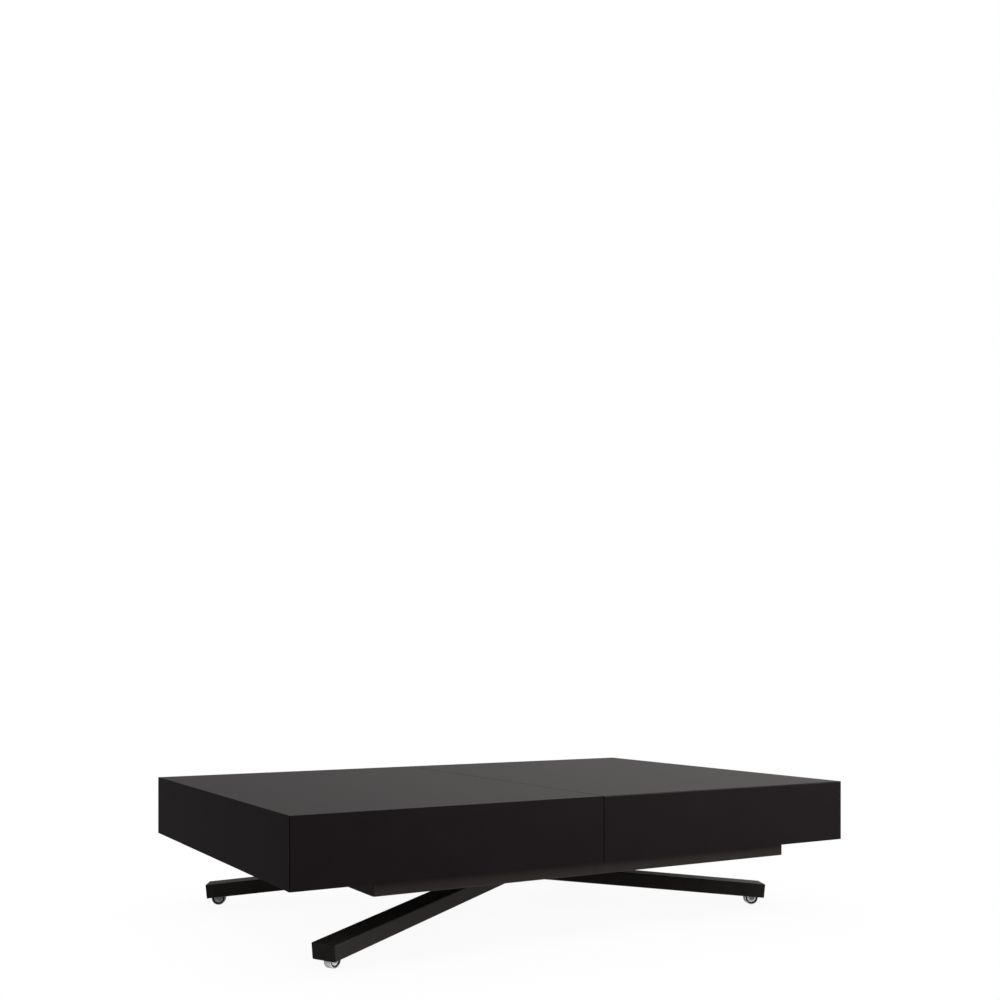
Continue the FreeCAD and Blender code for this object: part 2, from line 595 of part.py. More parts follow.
def castor_fork(foot, hub):
    """The bent steel fork inside a leg end, and the axle that it holds."""
    placement = leg_axes(foot, hub)
    drop = wheel_centre(placement)
    roof = LEG_HEIGHT / 2 - TUBE_WALL
    inner = WHEEL_WIDTH / 2 + FORK_GAP
    x0 = WHEEL_SETBACK - FORK_LENGTH / 2
    fork = Part.makeBox(FORK_LENGTH, 2 * (inner + FORK_PLATE), FORK_PLATE,
                        Vector(x0, -inner - FORK_PLATE, roof - FORK_PLATE))
    for y0 in (-inner - FORK_PLATE, inner):
        low = drop
        outline = [
            Vector(x0, y0, roof), Vector(x0, y0, roof / 2), Vector(WHEEL_SETBACK - FORK_EYE, y0, low),
            Vector(WHEEL_SETBACK + FORK_EYE, y0, low), Vector(x0 + FORK_LENGTH, y0, roof / 2),
            Vector(x0 + FORK_LENGTH, y0, roof),
        ]
        cheek = Part.Face(Part.makePolygon(outline + outline[:1])).extrude(Vector(0, FORK_PLATE, 0))
        eye = Part.makeCylinder(FORK_EYE, FORK_PLATE, Vector(WHEEL_SETBACK, y0, drop), ALONG_Y)
        fork = fork.fuse(cheek).fuse(eye)
    axle = Part.makeCylinder(WHEEL_AXLE_RADIUS, 2 * (inner + FORK_PLATE),
                             Vector(WHEEL_SETBACK, -inner - FORK_PLATE, drop), ALONG_Y)
    return placed(fork.fuse(axle).removeSplitter(), placement)


def turned(points):
    """A ring turned about local Y, from its half section in radius and width."""
    section = [Vector(radius, across, 0) for radius, across in points]
    return Part.Face(Part.makePolygon(section + section[:1])).revolve(ORIGIN, ALONG_Y, 360)


def wheel_ring(half):
    """The tyre: a ring with broken edges."""
    inner = WHEEL_RADIUS - TYRE_DEPTH
    return turned([(inner, -half), (WHEEL_RADIUS - WHEEL_EDGE, -half), (WHEEL_RADIUS, WHEEL_EDGE - half),
                   (WHEEL_RADIUS, half - WHEEL_EDGE), (WHEEL_RADIUS - WHEEL_EDGE, half), (inner, half)])


def wheel_rim(half):
    """The wheel body inside the tyre, dished on both sides within a raised ring."""
    outer = WHEEL_RADIUS - TYRE_DEPTH - FIT_CLEARANCE
    bore = WHEEL_AXLE_RADIUS + FIT_CLEARANCE
    ring = outer - RIM_RING
    dish = half - RIM_DISH
    return turned([(bore, -dish), (ring, -dish), (ring, -half), (outer, -half),
                   (outer, half), (ring, half), (ring, dish), (bore, dish)])


def add_wheel(name, foot, hub):
    placement = leg_axes(foot, hub)
    shift = Vector(WHEEL_SETBACK, 0, wheel_centre(placement))
    half = WHEEL_WIDTH / 2
    tyre = wheel_ring(half)
    rim = wheel_rim(half - RIM_RECESS)
    for suffix, shape in (("tyre", tyre), ("rim", rim)):
        shape.translate(shift)
        parts[name + "_" + suffix] = placed(shape, placement)


def sloped(shape, side):
    """A shape drawn along X from the hub, laid on the arms' slope. side is 1 right, -1 left."""
    moved = shape.copy()
    moved.rotate(ORIGIN, ALONG_Y, -math.degrees(ARM_SLOPE))
    moved.translate(Vector(0, 0, HUB_Z))
    return moved if side > 0 else flip_x(moved)


def arm_tube(x0, x1, y0, y1):
    """A length of the upper arms' rectangular tube, in the slope's own axes."""
    tube = block(x0, x1, y0, y1, -ARM_HEIGHT / 2, ARM_HEIGHT / 2)
    bore = block(x0 - OVERRUN, x1 + OVERRUN, y0 + ARM_WALL, y1 - ARM_WALL,
                 ARM_WALL - ARM_HEIGHT / 2, ARM_HEIGHT / 2 - ARM_WALL)
    return tube.cut(bore)


def knuckle(y0, y1):
    """A hub knuckle before it is bored."""
    return cross_rod(KNUCKLE_RADIUS, 0, y0, y1, HUB_Z)


def axle_bore():
    return cross_rod(AXLE_RADIUS + FIT_CLEARANCE, 0, -HALF_WIDTH, HALF_WIDTH, HUB_Z)


def outer_arm():
    """The single middle arm of the outer frame, with the middle knuckle. Its short tail
    runs past the hub to the brace between the outer legs."""
    y = OUTER_ARM_HALF
    tail = BRACE_X / math.cos(ARM_SLOPE)
    tube = sloped(arm_tube(-tail - LEG_HEIGHT, ARM_LENGTH, -y, y), 1)
    tube = tube.cut(block(-CUT_REACH, -BRACE_X, -CUT_REACH, CUT_REACH, -CUT_REACH, CUT_REACH))
    tube = tube.cut(cross_rod(ARM_HEIGHT / 2, PIVOT_X, -CUT_REACH, CUT_REACH, PIVOT_Z))
    return tube.fuse(knuckle(-y, y)).removeSplitter().cut(axle_bore())


def inner_arm():
    """The back one of the inner frame's two arms, with an eye for the roller shaft."""
    y0, y1 = INNER_ARM_Y - INNER_ARM_WIDTH / 2, INNER_ARM_Y + INNER_ARM_WIDTH / 2
    tube = sloped(arm_tube(0, ARM_LENGTH, y0, y1), -1).cut(knuckle(-HALF_WIDTH, HALF_WIDTH))
    eye = cross_rod(ARM_HEIGHT / 2, -PIVOT_X, y0, y1, PIVOT_Z)
    shaft = cross_rod(SHAFT_RADIUS + FIT_CLEARANCE, -PIVOT_X, y0 - OVERRUN, y1 + OVERRUN, PIVOT_Z)
    return tube.fuse(eye).removeSplitter().cut(shaft)


def cross_tube():
    """The bushed tube across the top end of the outer arm, which turns on the two pivot pins."""
    tube = cross_rod(ARM_HEIGHT / 2, PIVOT_X, -CROSS_TUBE_HALF, CROSS_TUBE_HALF, PIVOT_Z)
    return tube.cut(cross_rod(PIVOT_PIN_RADIUS + FIT_CLEARANCE, PIVOT_X, -HALF_WIDTH, HALF_WIDTH, PIVOT_Z))


def roller_places():
    """The near and far side of the back roller."""
    far = CHANNEL_MOUTH_Y + CHANNEL_DEPTH - CHANNEL_WALL - ROLLER_SIDE_GAP
    return far - ROLLER_WIDTH, far


def roller_shaft():
    """The shaft across the top end of the inner arms, with a stub for the roller at each end."""
    near, far = roller_places()
    shoulder = near - ROLLER_CLEARANCE
    shaft = cross_rod(SHAFT_RADIUS, -PIVOT_X, -shoulder, shoulder, PIVOT_Z)
    return shaft.fuse(cross_rod(STUB_RADIUS, -PIVOT_X, -far, far, PIVOT_Z))


def roller():
    near, far = roller_places()
    bore = cross_rod(STUB_RADIUS + FIT_CLEARANCE, -PIVOT_X, near - OVERRUN, far + OVERRUN, PIVOT_Z)
    return cross_rod(ROLLER_RADIUS, -PIVOT_X, near, far, PIVOT_Z).cut(bore)


def brace(foot, hub, side):
    """The flat bar that ties a pair of legs together close to the hub, under the other frame's arms."""
    top = HUB_Z + BRACE_X * math.tan(ARM_SLOPE) - ARM_HEIGHT / (2 * math.cos(ARM_SLOPE)) - BRACE_CLEARANCE
    x0, x1 = sorted((side * BRACE_X, side * (BRACE_X + BRACE_WIDTH)))
    bar = block(x0, x1, -HALF_WIDTH / 2, HALF_WIDTH / 2, top - BRACE_HEIGHT, top)
    slab = leg_slab(foot, hub)
    for shape in (slab, flip_y(slab)):
        bar = bar.cut(shape)
    return max(bar.Solids, key=lambda piece: -abs(piece.CenterOfMass.y))


def hub_axle():
    """The axle through all the knuckles, with a round head at each end."""
    bar = cross_rod(AXLE_RADIUS, 0, -HUB_END_Y - KNUCKLE_GAP, HUB_END_Y + KNUCKLE_GAP, HUB_Z)
    head_y = HUB_END_Y + KNUCKLE_GAP
    head = cross_rod(AXLE_HEAD_RADIUS, 0, head_y, head_y + AXLE_HEAD, HUB_Z)
    return bar.fuse([head, flip_y(head)])


def hub_knuckles(y0, y1):
    back = knuckle(y0, y1).cut(axle_bore())
    return Part.makeCompound([back, flip_y(back)])


def gas_spring_rod():
    """The rod of the gas spring, with its piston and the eye round the roller shaft."""
    y = -SPRING_Y
    inner_end = -CYLINDER_HALF + ROD_INSIDE
    rod = long_rod(ROD_RADIUS, -PIVOT_X, inner_end, y, PIVOT_Z)
    piston_radius = CYLINDER_RADIUS - CYLINDER_WALL - ROLLER_CLEARANCE
    piston = long_rod(piston_radius, inner_end - PISTON_LENGTH, inner_end, y, PIVOT_Z)
    y0, y1 = y - ROD_EYE_WIDTH / 2, y + ROD_EYE_WIDTH / 2
    eye = cross_rod(ROD_EYE_RADIUS, -PIVOT_X, y0, y1, PIVOT_Z)
    bore = cross_rod(SHAFT_RADIUS + FIT_CLEARANCE, -PIVOT_X, y0 - OVERRUN, y1 + OVERRUN, PIVOT_Z)
    return rod.fuse([piston, eye]).cut(bore)


def release_lever():
    """The bent bar that presses the gas spring's button when its far end is lifted."""
    y0 = -SPRING_Y - LEVER_WIDTH / 2
    pivot_z = PIVOT_Z - LEVER_PIVOT_DROP
    low = pivot_z - LEVER_DROP
    end = FRAME_X + LEVER_OVERHANG
    half = LEVER_THICKNESS / 2
    outline = [
        Vector(LEVER_FINGER_X, y0, pivot_z - half),
        Vector(LEVER_PIVOT_X, y0, pivot_z - half),
        Vector(LEVER_BEND_X, y0, low),
        Vector(end, y0, low),
        Vector(end, y0, low + LEVER_THICKNESS),
        Vector(LEVER_BEND_X, y0, low + LEVER_THICKNESS),
        Vector(LEVER_PIVOT_X, y0, pivot_z + half),
        Vector(LEVER_FINGER_X + LEVER_THICKNESS, y0, pivot_z + half),
        Vector(LEVER_FINGER_X + LEVER_THICKNESS, y0, PIVOT_Z + LEVER_FINGER_RISE),
        Vector(LEVER_FINGER_X, y0, PIVOT_Z + LEVER_FINGER_RISE),
    ]
    bar = Part.Face(Part.makePolygon(outline + outline[:1])).extrude(Vector(0, LEVER_WIDTH, 0))
    eye = cross_rod(LEVER_EYE_RADIUS, LEVER_PIVOT_X, y0, y0 + LEVER_WIDTH, pivot_z)
    pin = cross_rod(LEVER_PIN_RADIUS + FIT_CLEARANCE, LEVER_PIVOT_X, y0 - OVERRUN,
                    y0 + LEVER_WIDTH + OVERRUN, pivot_z)
    return bar.fuse(eye).removeSplitter().cut(pin)


def add_leg_frame(name, side, foot_y, hub_y, y0, y1):
    """The two legs of one frame with their caps, forks, wheels and brace."""
    foot = Vector(side * FOOT_X, -foot_y, FOOT_Z)
    hub = Vector(0, -hub_y, HUB_Z)
    leg = trimmed_leg(foot, hub, y0, y1, side)
    cap = leg_cap(foot, hub)
    fork = castor_fork(foot, hub)
    parts[name + "_front_leg"] = leg
    parts[name + "_back_leg"] = flip_y(leg)
    parts[name + "_leg_caps"] = Part.makeCompound([cap, flip_y(cap)])
    parts[name + "_castor_forks"] = Part.makeCompound([fork, flip_y(fork)])
    parts[name + "_brace"] = brace(foot, hub, side)
    add_wheel(name + "_front_wheel", foot, hub)
    add_wheel(name + "_back_wheel", flip_point(foot), flip_point(hub))


def flip_point(point):
    return Vector(point.x, -point.y, point.z)


def add_legs():
    gap = KNUCKLE_GAP / 2
    add_leg_frame("outer", -1, OUTER_FOOT_Y, OUTER_LEG_HUB_Y, -HUB_END_Y, -OUTER_KNUCKLE_Y + gap)
    add_leg_frame("inner", 1, INNER_FOOT_Y, INNER_LEG_HUB_Y, -OUTER_KNUCKLE_Y + gap, -INNER_KNUCKLE_Y + gap)
    parts["outer_hub_knuckles"] = hub_knuckles(OUTER_KNUCKLE_Y, HUB_END_Y)
    parts["inner_hub_knuckles"] = hub_knuckles(INNER_KNUCKLE_Y, OUTER_KNUCKLE_Y - KNUCKLE_GAP)
    parts["outer_arm"] = outer_arm()
    arm = inner_arm()
    parts["inner_arms"] = Part.makeCompound([arm, flip_y(arm)])
    parts["outer_cross_tube"] = cross_tube()
    parts["roller_shaft"] = roller_shaft()
    parts["back_roller"] = roller()
    parts["front_roller"] = flip_y(roller())
    parts["hub_axle"] = hub_axle()
    parts["gas_spring_rod"] = gas_spring_rod()
    parts["release_lever"] = release_lever()


add_top_halves()
add_subframe()
add_legs()

os.makedirs("parts", exist_ok=True)
for name, shape in parts.items():
    solids = shape.Solids
    print(name, len(solids), "solids", round(shape.Volume), "mm3", shape.isValid())
    shape.exportStep(os.path.join("parts", name + ".step"))
print(len(parts), "parts")
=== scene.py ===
# %% [markdown]
# An extendable coffee table, dressed for its picture.
# The solids come from the CAD frame and stay where they are.
# This lesson gives them finishes, eased edges, welds, screws and turned castor wheels.
# Every length is in metres. +X runs along the table, -Y is the front, and +Z is up.

# %% Load the frame
import bmesh
import bpy
import json
import math
import numpy as np
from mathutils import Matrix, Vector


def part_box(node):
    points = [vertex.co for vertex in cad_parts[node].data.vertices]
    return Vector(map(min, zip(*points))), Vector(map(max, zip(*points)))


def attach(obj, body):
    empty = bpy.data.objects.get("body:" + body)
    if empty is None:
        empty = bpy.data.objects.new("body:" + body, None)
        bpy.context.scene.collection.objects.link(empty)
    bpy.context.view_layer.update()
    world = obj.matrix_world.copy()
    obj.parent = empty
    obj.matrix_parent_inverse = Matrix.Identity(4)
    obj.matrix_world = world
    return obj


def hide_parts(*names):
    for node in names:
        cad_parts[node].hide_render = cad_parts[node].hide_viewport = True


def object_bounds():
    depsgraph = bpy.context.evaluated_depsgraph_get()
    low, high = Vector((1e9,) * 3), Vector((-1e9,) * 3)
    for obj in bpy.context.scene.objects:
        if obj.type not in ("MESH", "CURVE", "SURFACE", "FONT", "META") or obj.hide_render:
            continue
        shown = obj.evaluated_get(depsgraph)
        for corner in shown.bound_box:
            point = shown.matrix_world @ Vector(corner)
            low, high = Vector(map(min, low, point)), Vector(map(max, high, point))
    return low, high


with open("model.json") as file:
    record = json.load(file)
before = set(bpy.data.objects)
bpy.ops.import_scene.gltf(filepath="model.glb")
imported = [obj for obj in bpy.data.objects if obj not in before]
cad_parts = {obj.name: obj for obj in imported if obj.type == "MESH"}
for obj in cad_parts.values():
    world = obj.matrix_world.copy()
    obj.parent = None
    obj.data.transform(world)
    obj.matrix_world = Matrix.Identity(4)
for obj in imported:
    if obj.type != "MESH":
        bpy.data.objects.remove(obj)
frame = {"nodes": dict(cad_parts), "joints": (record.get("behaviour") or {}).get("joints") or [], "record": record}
nodes = frame["nodes"]
cad_low, cad_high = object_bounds()
print("nodes:", len(nodes), "box:", [round(v, 4) for v in (*cad_low, *cad_high)])

# %% [markdown]
# The camera.
# The picture was taken level, a little above the table, from the front left.
# A level camera keeps upright edges upright. The table sits low in the picture because the frame is
# shifted up, not because the camera is tilted, so the lens shift does the same here.

# %% Camera
CAMERA_PLACE = (-1.29697, -2.25697, 0.51095)
CAMERA_YAW = math.radians(30.22)
LENS_MM = 42.546
SENSOR_MM = 36.0
SHIFT_UP_SHARE = 0.17465

camera_data = bpy.data.cameras.new("camera")
camera_data.sensor_width = SENSOR_MM
camera_data.lens = LENS_MM
camera_data.shift_y = SHIFT_UP_SHARE
camera = bpy.data.objects.new("camera", camera_data)
camera.location = CAMERA_PLACE
camera.rotation_euler = (math.pi / 2, 0, -CAMERA_YAW)
bpy.context.scene.collection.objects.link(camera)
bpy.context.scene.camera = camera
bpy.context.scene.view_settings.view_transform = "Standard"
print("camera at", CAMERA_PLACE)

# %% [markdown]
# The studio.
# The table stands on white with no horizon. To the camera the floor is a clear film over the white
# world that turns a little darker where something stands close over it, which is the soft shadow.
# The legs still show through it when the table is raised, and from below it is quite clear.
# Dark surfaces show what they mirror, so for gloss the world is bright only beyond the table's right
# end: the top takes a sheen at a low angle, and the sides stay deep black.

# %% Node helpers
def wire(tree, source, target):
    """Joins one node's output socket to another node's input socket."""
    tree.links.new(source, target)


def larger(tree, first, second):
    """The larger of two numbers."""
    maximum = tree.nodes.new("ShaderNodeMath")
    maximum.operation = "MAXIMUM"
    wire(tree, first, maximum.inputs[0])
    wire(tree, second, maximum.inputs[1])
    return maximum.outputs[0]


def either(tree, switch, off, on):
    """A shader that is off where the switch is 0, and on where it is 1."""
    mix = tree.nodes.new("ShaderNodeMixShader")
    wire(tree, switch, mix.inputs[0])
    wire(tree, off, mix.inputs[1])
    wire(tree, on, mix.inputs[2])
    return mix.outputs[0]


print("node helpers: wire, larger and either")

# %% World
WHITE = (1, 1, 1, 1)
WORLD_LIGHT = 0.45
GLOSS_COLOUR = (1.0, 0.97, 0.95, 1)
BEYOND = (0.90, 0.43, 0.0)
GLOSS_STOPS = ((0.08, 0.085), (0.20, 0.088), (0.35, 0.18), (0.50, 0.26),
               (0.72, 0.37), (0.82, 0.46), (0.93, 0.54), (0.98, 1.0))
GLOSS_BELOW = 0.75
BELOW_STARTS, BELOW_FULL = -0.35, -0.95


def background(tree, colour, strength=1.0):
    """A light of that colour and strength, the same from every direction."""
    light = tree.nodes.new("ShaderNodeBackground")
    light.inputs["Color"].default_value = colour
    light.inputs["Strength"].default_value = strength
    return light


def gloss_strength(tree):
    """How bright the world is to gloss: a ramp that rises towards the far right, or a light from
    below, whichever is more, because the floor is clear to gloss."""
    place = tree.nodes.new("ShaderNodeTexCoord")
    beyond = tree.nodes.new("ShaderNodeVectorMath")
    beyond.operation = "DOT_PRODUCT"
    beyond.inputs[1].default_value = BEYOND
    wire(tree, place.outputs["Generated"], beyond.inputs[0])
    along = tree.nodes.new("ShaderNodeMapRange")
    along.inputs["From Min"].default_value = -1.0
    wire(tree, beyond.outputs["Value"], along.inputs["Value"])
    ramp = tree.nodes.new("ShaderNodeValToRGB")
    while len(ramp.color_ramp.elements) < len(GLOSS_STOPS):
        ramp.color_ramp.elements.new(0.5)
    for stop, (towards, light) in zip(ramp.color_ramp.elements, GLOSS_STOPS):
        stop.position = (towards + 1) / 2
        stop.color = (light, light, light, 1)
    wire(tree, along.outputs["Result"], ramp.inputs["Fac"])
    height = tree.nodes.new("ShaderNodeSeparateXYZ")
    wire(tree, place.outputs["Generated"], height.inputs[0])
    below = tree.nodes.new("ShaderNodeMapRange")
    below.interpolation_type = "SMOOTHSTEP"
    below.inputs["From Min"].default_value = BELOW_STARTS
    below.inputs["From Max"].default_value = BELOW_FULL
    below.inputs["To Max"].default_value = GLOSS_BELOW
    wire(tree, height.outputs["Z"], below.inputs["Value"])
    return larger(tree, ramp.outputs["Color"], below.outputs["Result"])


def build_world():
    """White for the camera, plain grey light for matt surfaces, and the ramp for gloss."""
    world = bpy.data.worlds.new("studio")
    bpy.context.scene.world = world
    world.use_nodes = True
    tree = world.node_tree
    tree.nodes.clear()
    out = tree.nodes.new("ShaderNodeOutputWorld")
    path = tree.nodes.new("ShaderNodeLightPath")
    plain = background(tree, WHITE, WORLD_LIGHT)
    gloss = background(tree, GLOSS_COLOUR)
    white = background(tree, WHITE)
    wire(tree, gloss_strength(tree), gloss.inputs["Strength"])
    lit = either(tree, path.outputs["Is Glossy Ray"], plain.outputs[0], gloss.outputs[0])
    seen = either(tree, path.outputs["Is Camera Ray"], lit, white.outputs[0])
    wire(tree, seen, out.inputs["Surface"])


build_world()
print("world: a gloss ramp with", len(GLOSS_STOPS), "stops")

# %% Floor
FLOOR_HALF = 30.0
SHADE_REACH = 0.30
SHADE_DEEPEST = 0.93
SHADE_SAMPLES = 12
FLOOR_COLOUR = (0.80, 0.80, 0.80, 1)


def build_floor():
    """A large flat sheet at height zero: matt to light, a film to the camera, and clear from below."""
    h = FLOOR_HALF
    mesh = bpy.data.meshes.new("floor")
    mesh.from_pydata([(-h, -h, 0), (h, -h, 0), (h, h, 0), (-h, h, 0)], [], [(0, 1, 2, 3)])
    floor = bpy.data.objects.new("floor", mesh)
    bpy.context.scene.collection.objects.link(floor)
    material = bpy.data.materials.new("studio_floor")
    material.use_nodes = True
    tree = material.node_tree
    tree.nodes.clear()
    out = tree.nodes.new("ShaderNodeOutputMaterial")
    path = tree.nodes.new("ShaderNodeLightPath")
    side = tree.nodes.new("ShaderNodeNewGeometry")
    matt = tree.nodes.new("ShaderNodeBsdfDiffuse")
    matt.inputs["Color"].default_value = FLOOR_COLOUR
    open_sky = tree.nodes.new("ShaderNodeAmbientOcclusion")
    open_sky.samples = SHADE_SAMPLES
    open_sky.inputs["Distance"].default_value = SHADE_REACH
    shade = tree.nodes.new("ShaderNodeMapRange")
    shade.inputs["To Min"].default_value = SHADE_DEEPEST
    wire(tree, open_sky.outputs["AO"], shade.inputs["Value"])
    film = tree.nodes.new("ShaderNodeBsdfTransparent")
    wire(tree, shade.outputs["Result"], film.inputs["Color"])
    clear = tree.nodes.new("ShaderNodeBsdfTransparent")
    see_through = larger(tree, side.outputs["Backfacing"], path.outputs["Is Glossy Ray"])
    from_above = either(tree, path.outputs["Is Camera Ray"], matt.outputs[0], film.outputs[0])
    sheet = either(tree, see_through, from_above, clear.outputs[0])
    wire(tree, sheet, out.inputs["Surface"])
    mesh.materials.append(material)


build_floor()
print("floor side:", 2 * FLOOR_HALF)

# %% [markdown]
# The lamps.
# Two large soft panels, one high at the front right and a weaker one at the left, model the black
# faces without hard spots. Together with the world they light a mid grey about as it is written.
# The box shades the front castors, which are bright in the picture, so a small low panel is linked
# to those castors alone and lights nothing else.

# %% Lamps
KEY_PLACE = (2.4, -2.6, 2.2)
KEY_SIZE = 2.4
KEY_POWER = 75.0
FILL_PLACE = (-3.0, -1.2, 2.4)
FILL_SIZE = 2.4
FILL_POWER = 11.0
CASTOR_PLACE = (-0.4, -2.0, 0.40)
CASTOR_SIZE = 0.9
CASTOR_POWER = 12.0
LAMP_AIM = (0.0, 0.0, 0.15)


def panel_lamp(name, place, size, power):
    """A square lamp that faces the middle of the table."""
    data = bpy.data.lights.new(name, "AREA")
    data.size = size
    data.energy = power
    lamp = bpy.data.objects.new(name, data)
    lamp.location = place
    towards = np.array(LAMP_AIM) - np.array(place)
    pan = math.atan2(towards[1], towards[0]) - math.pi / 2
    tilt = math.atan2(math.hypot(towards[0], towards[1]), -towards[2])
    lamp.rotation_euler = (tilt, 0, pan)
    bpy.context.scene.collection.objects.link(lamp)
    return lamp


panel_lamp("key", KEY_PLACE, KEY_SIZE, KEY_POWER)
panel_lamp("fill", FILL_PLACE, FILL_SIZE, FILL_POWER)
castor_lamp = panel_lamp("castor_light", CASTOR_PLACE, CASTOR_SIZE, CASTOR_POWER)
lit_castors = bpy.data.collections.new("lit_castors")
castor_lamp.light_linking.receiver_collection = lit_castors
print("lamps: key, fill and castor light")

# %% [markdown]
# How a finish is made.
# Each finish is a Principled shader with two noise patterns on object coordinates. The broad one
# tints the colour. The fine one varies the roughness and raises a fine relief. Their scales are what
# make lacquer, powder coat, anodised metal or rubber look like themselves, so each finish names its
# own, in cycles per metre.

# %% Pattern helpers
def pattern(tree, cycles, stretch=(1, 1, 1), octaves=3.0, rough_share=0.55):
    """Noise on object coordinates, cycles per metre, squeezed along X, Y and Z by stretch."""
    place = tree.nodes.new("ShaderNodeTexCoord")
    mapping = tree.nodes.new("ShaderNodeMapping")
    mapping.inputs["Scale"].default_value = stretch
    noise = tree.nodes.new("ShaderNodeTexNoise")
    noise.inputs["Scale"].default_value = cycles
    noise.inputs["Detail"].default_value = octaves
    noise.inputs["Roughness"].default_value = rough_share
    wire(tree, place.outputs["Object"], mapping.inputs["Vector"])
    wire(tree, mapping.outputs["Vector"], noise.inputs["Vector"])
    return noise.outputs["Fac"]


def spread(tree, fac, low, high, low_stop=0.32, high_stop=0.68):
    """Turns a pattern into a colour that runs from low to high between two stops."""
    ramp = tree.nodes.new("ShaderNodeValToRGB")
    ramp.color_ramp.elements[0].position = low_stop
    ramp.color_ramp.elements[1].position = high_stop
    ramp.color_ramp.elements[0].color = (*low, 1)
    ramp.color_ramp.elements[1].color = (*high, 1)
    wire(tree, fac, ramp.inputs["Fac"])
    return ramp.outputs["Color"]


def level(tree, fac, low, high, low_stop=0.3, high_stop=0.7):
    """Turns a pattern into a number that runs from low to high between two stops."""
    ranged = tree.nodes.new("ShaderNodeMapRange")
    ranged.inputs["From Min"].default_value = low_stop
    ranged.inputs["From Max"].default_value = high_stop
    ranged.inputs["To Min"].default_value = low
    ranged.inputs["To Max"].default_value = high
    wire(tree, fac, ranged.inputs["Value"])
    return ranged.outputs["Result"]


def relief(tree, fac, height, under=None):
    """A bump of that height in metres, laid over another bump if one is given."""
    bump = tree.nodes.new("ShaderNodeBump")
    bump.inputs["Distance"].default_value = height
    bump.inputs["Strength"].default_value = 1.0
    wire(tree, fac, bump.inputs["Height"])
    if under is not None:
        wire(tree, under, bump.inputs["Normal"])
    return bump.outputs["Normal"]


print("pattern helpers: pattern, spread, level and relief")

# %% Finish helper
def finish(name, tints, roughness, coarse, fine, fine_height, stretch=(1, 1, 1), metal=0.0,
           gloss=0.5, coarse_height=0.0, coat=0.0, gloss_tint=(1, 1, 1)):
    """A finish from two tints, a low and high roughness, and the cycles of its two patterns."""
    material = bpy.data.materials.new(name)
    material.use_nodes = True
    tree = material.node_tree
    shader = tree.nodes["Principled BSDF"]
    broad = pattern(tree, coarse, stretch)
    grain = pattern(tree, fine, stretch, octaves=2.0)
    wire(tree, spread(tree, broad, *tints), shader.inputs["Base Color"])
    wire(tree, level(tree, grain, *roughness), shader.inputs["Roughness"])
    normal = relief(tree, grain, fine_height)
    if coarse_height:
        normal = relief(tree, broad, coarse_height, normal)
    wire(tree, normal, shader.inputs["Normal"])
    shader.inputs["Metallic"].default_value = metal
    shader.inputs["Specular IOR Level"].default_value = gloss
    shader.inputs["Coat Weight"].default_value = coat
    shader.inputs["Specular Tint"].default_value = (*gloss_tint, 1)
    return material


print("finish helper ready")
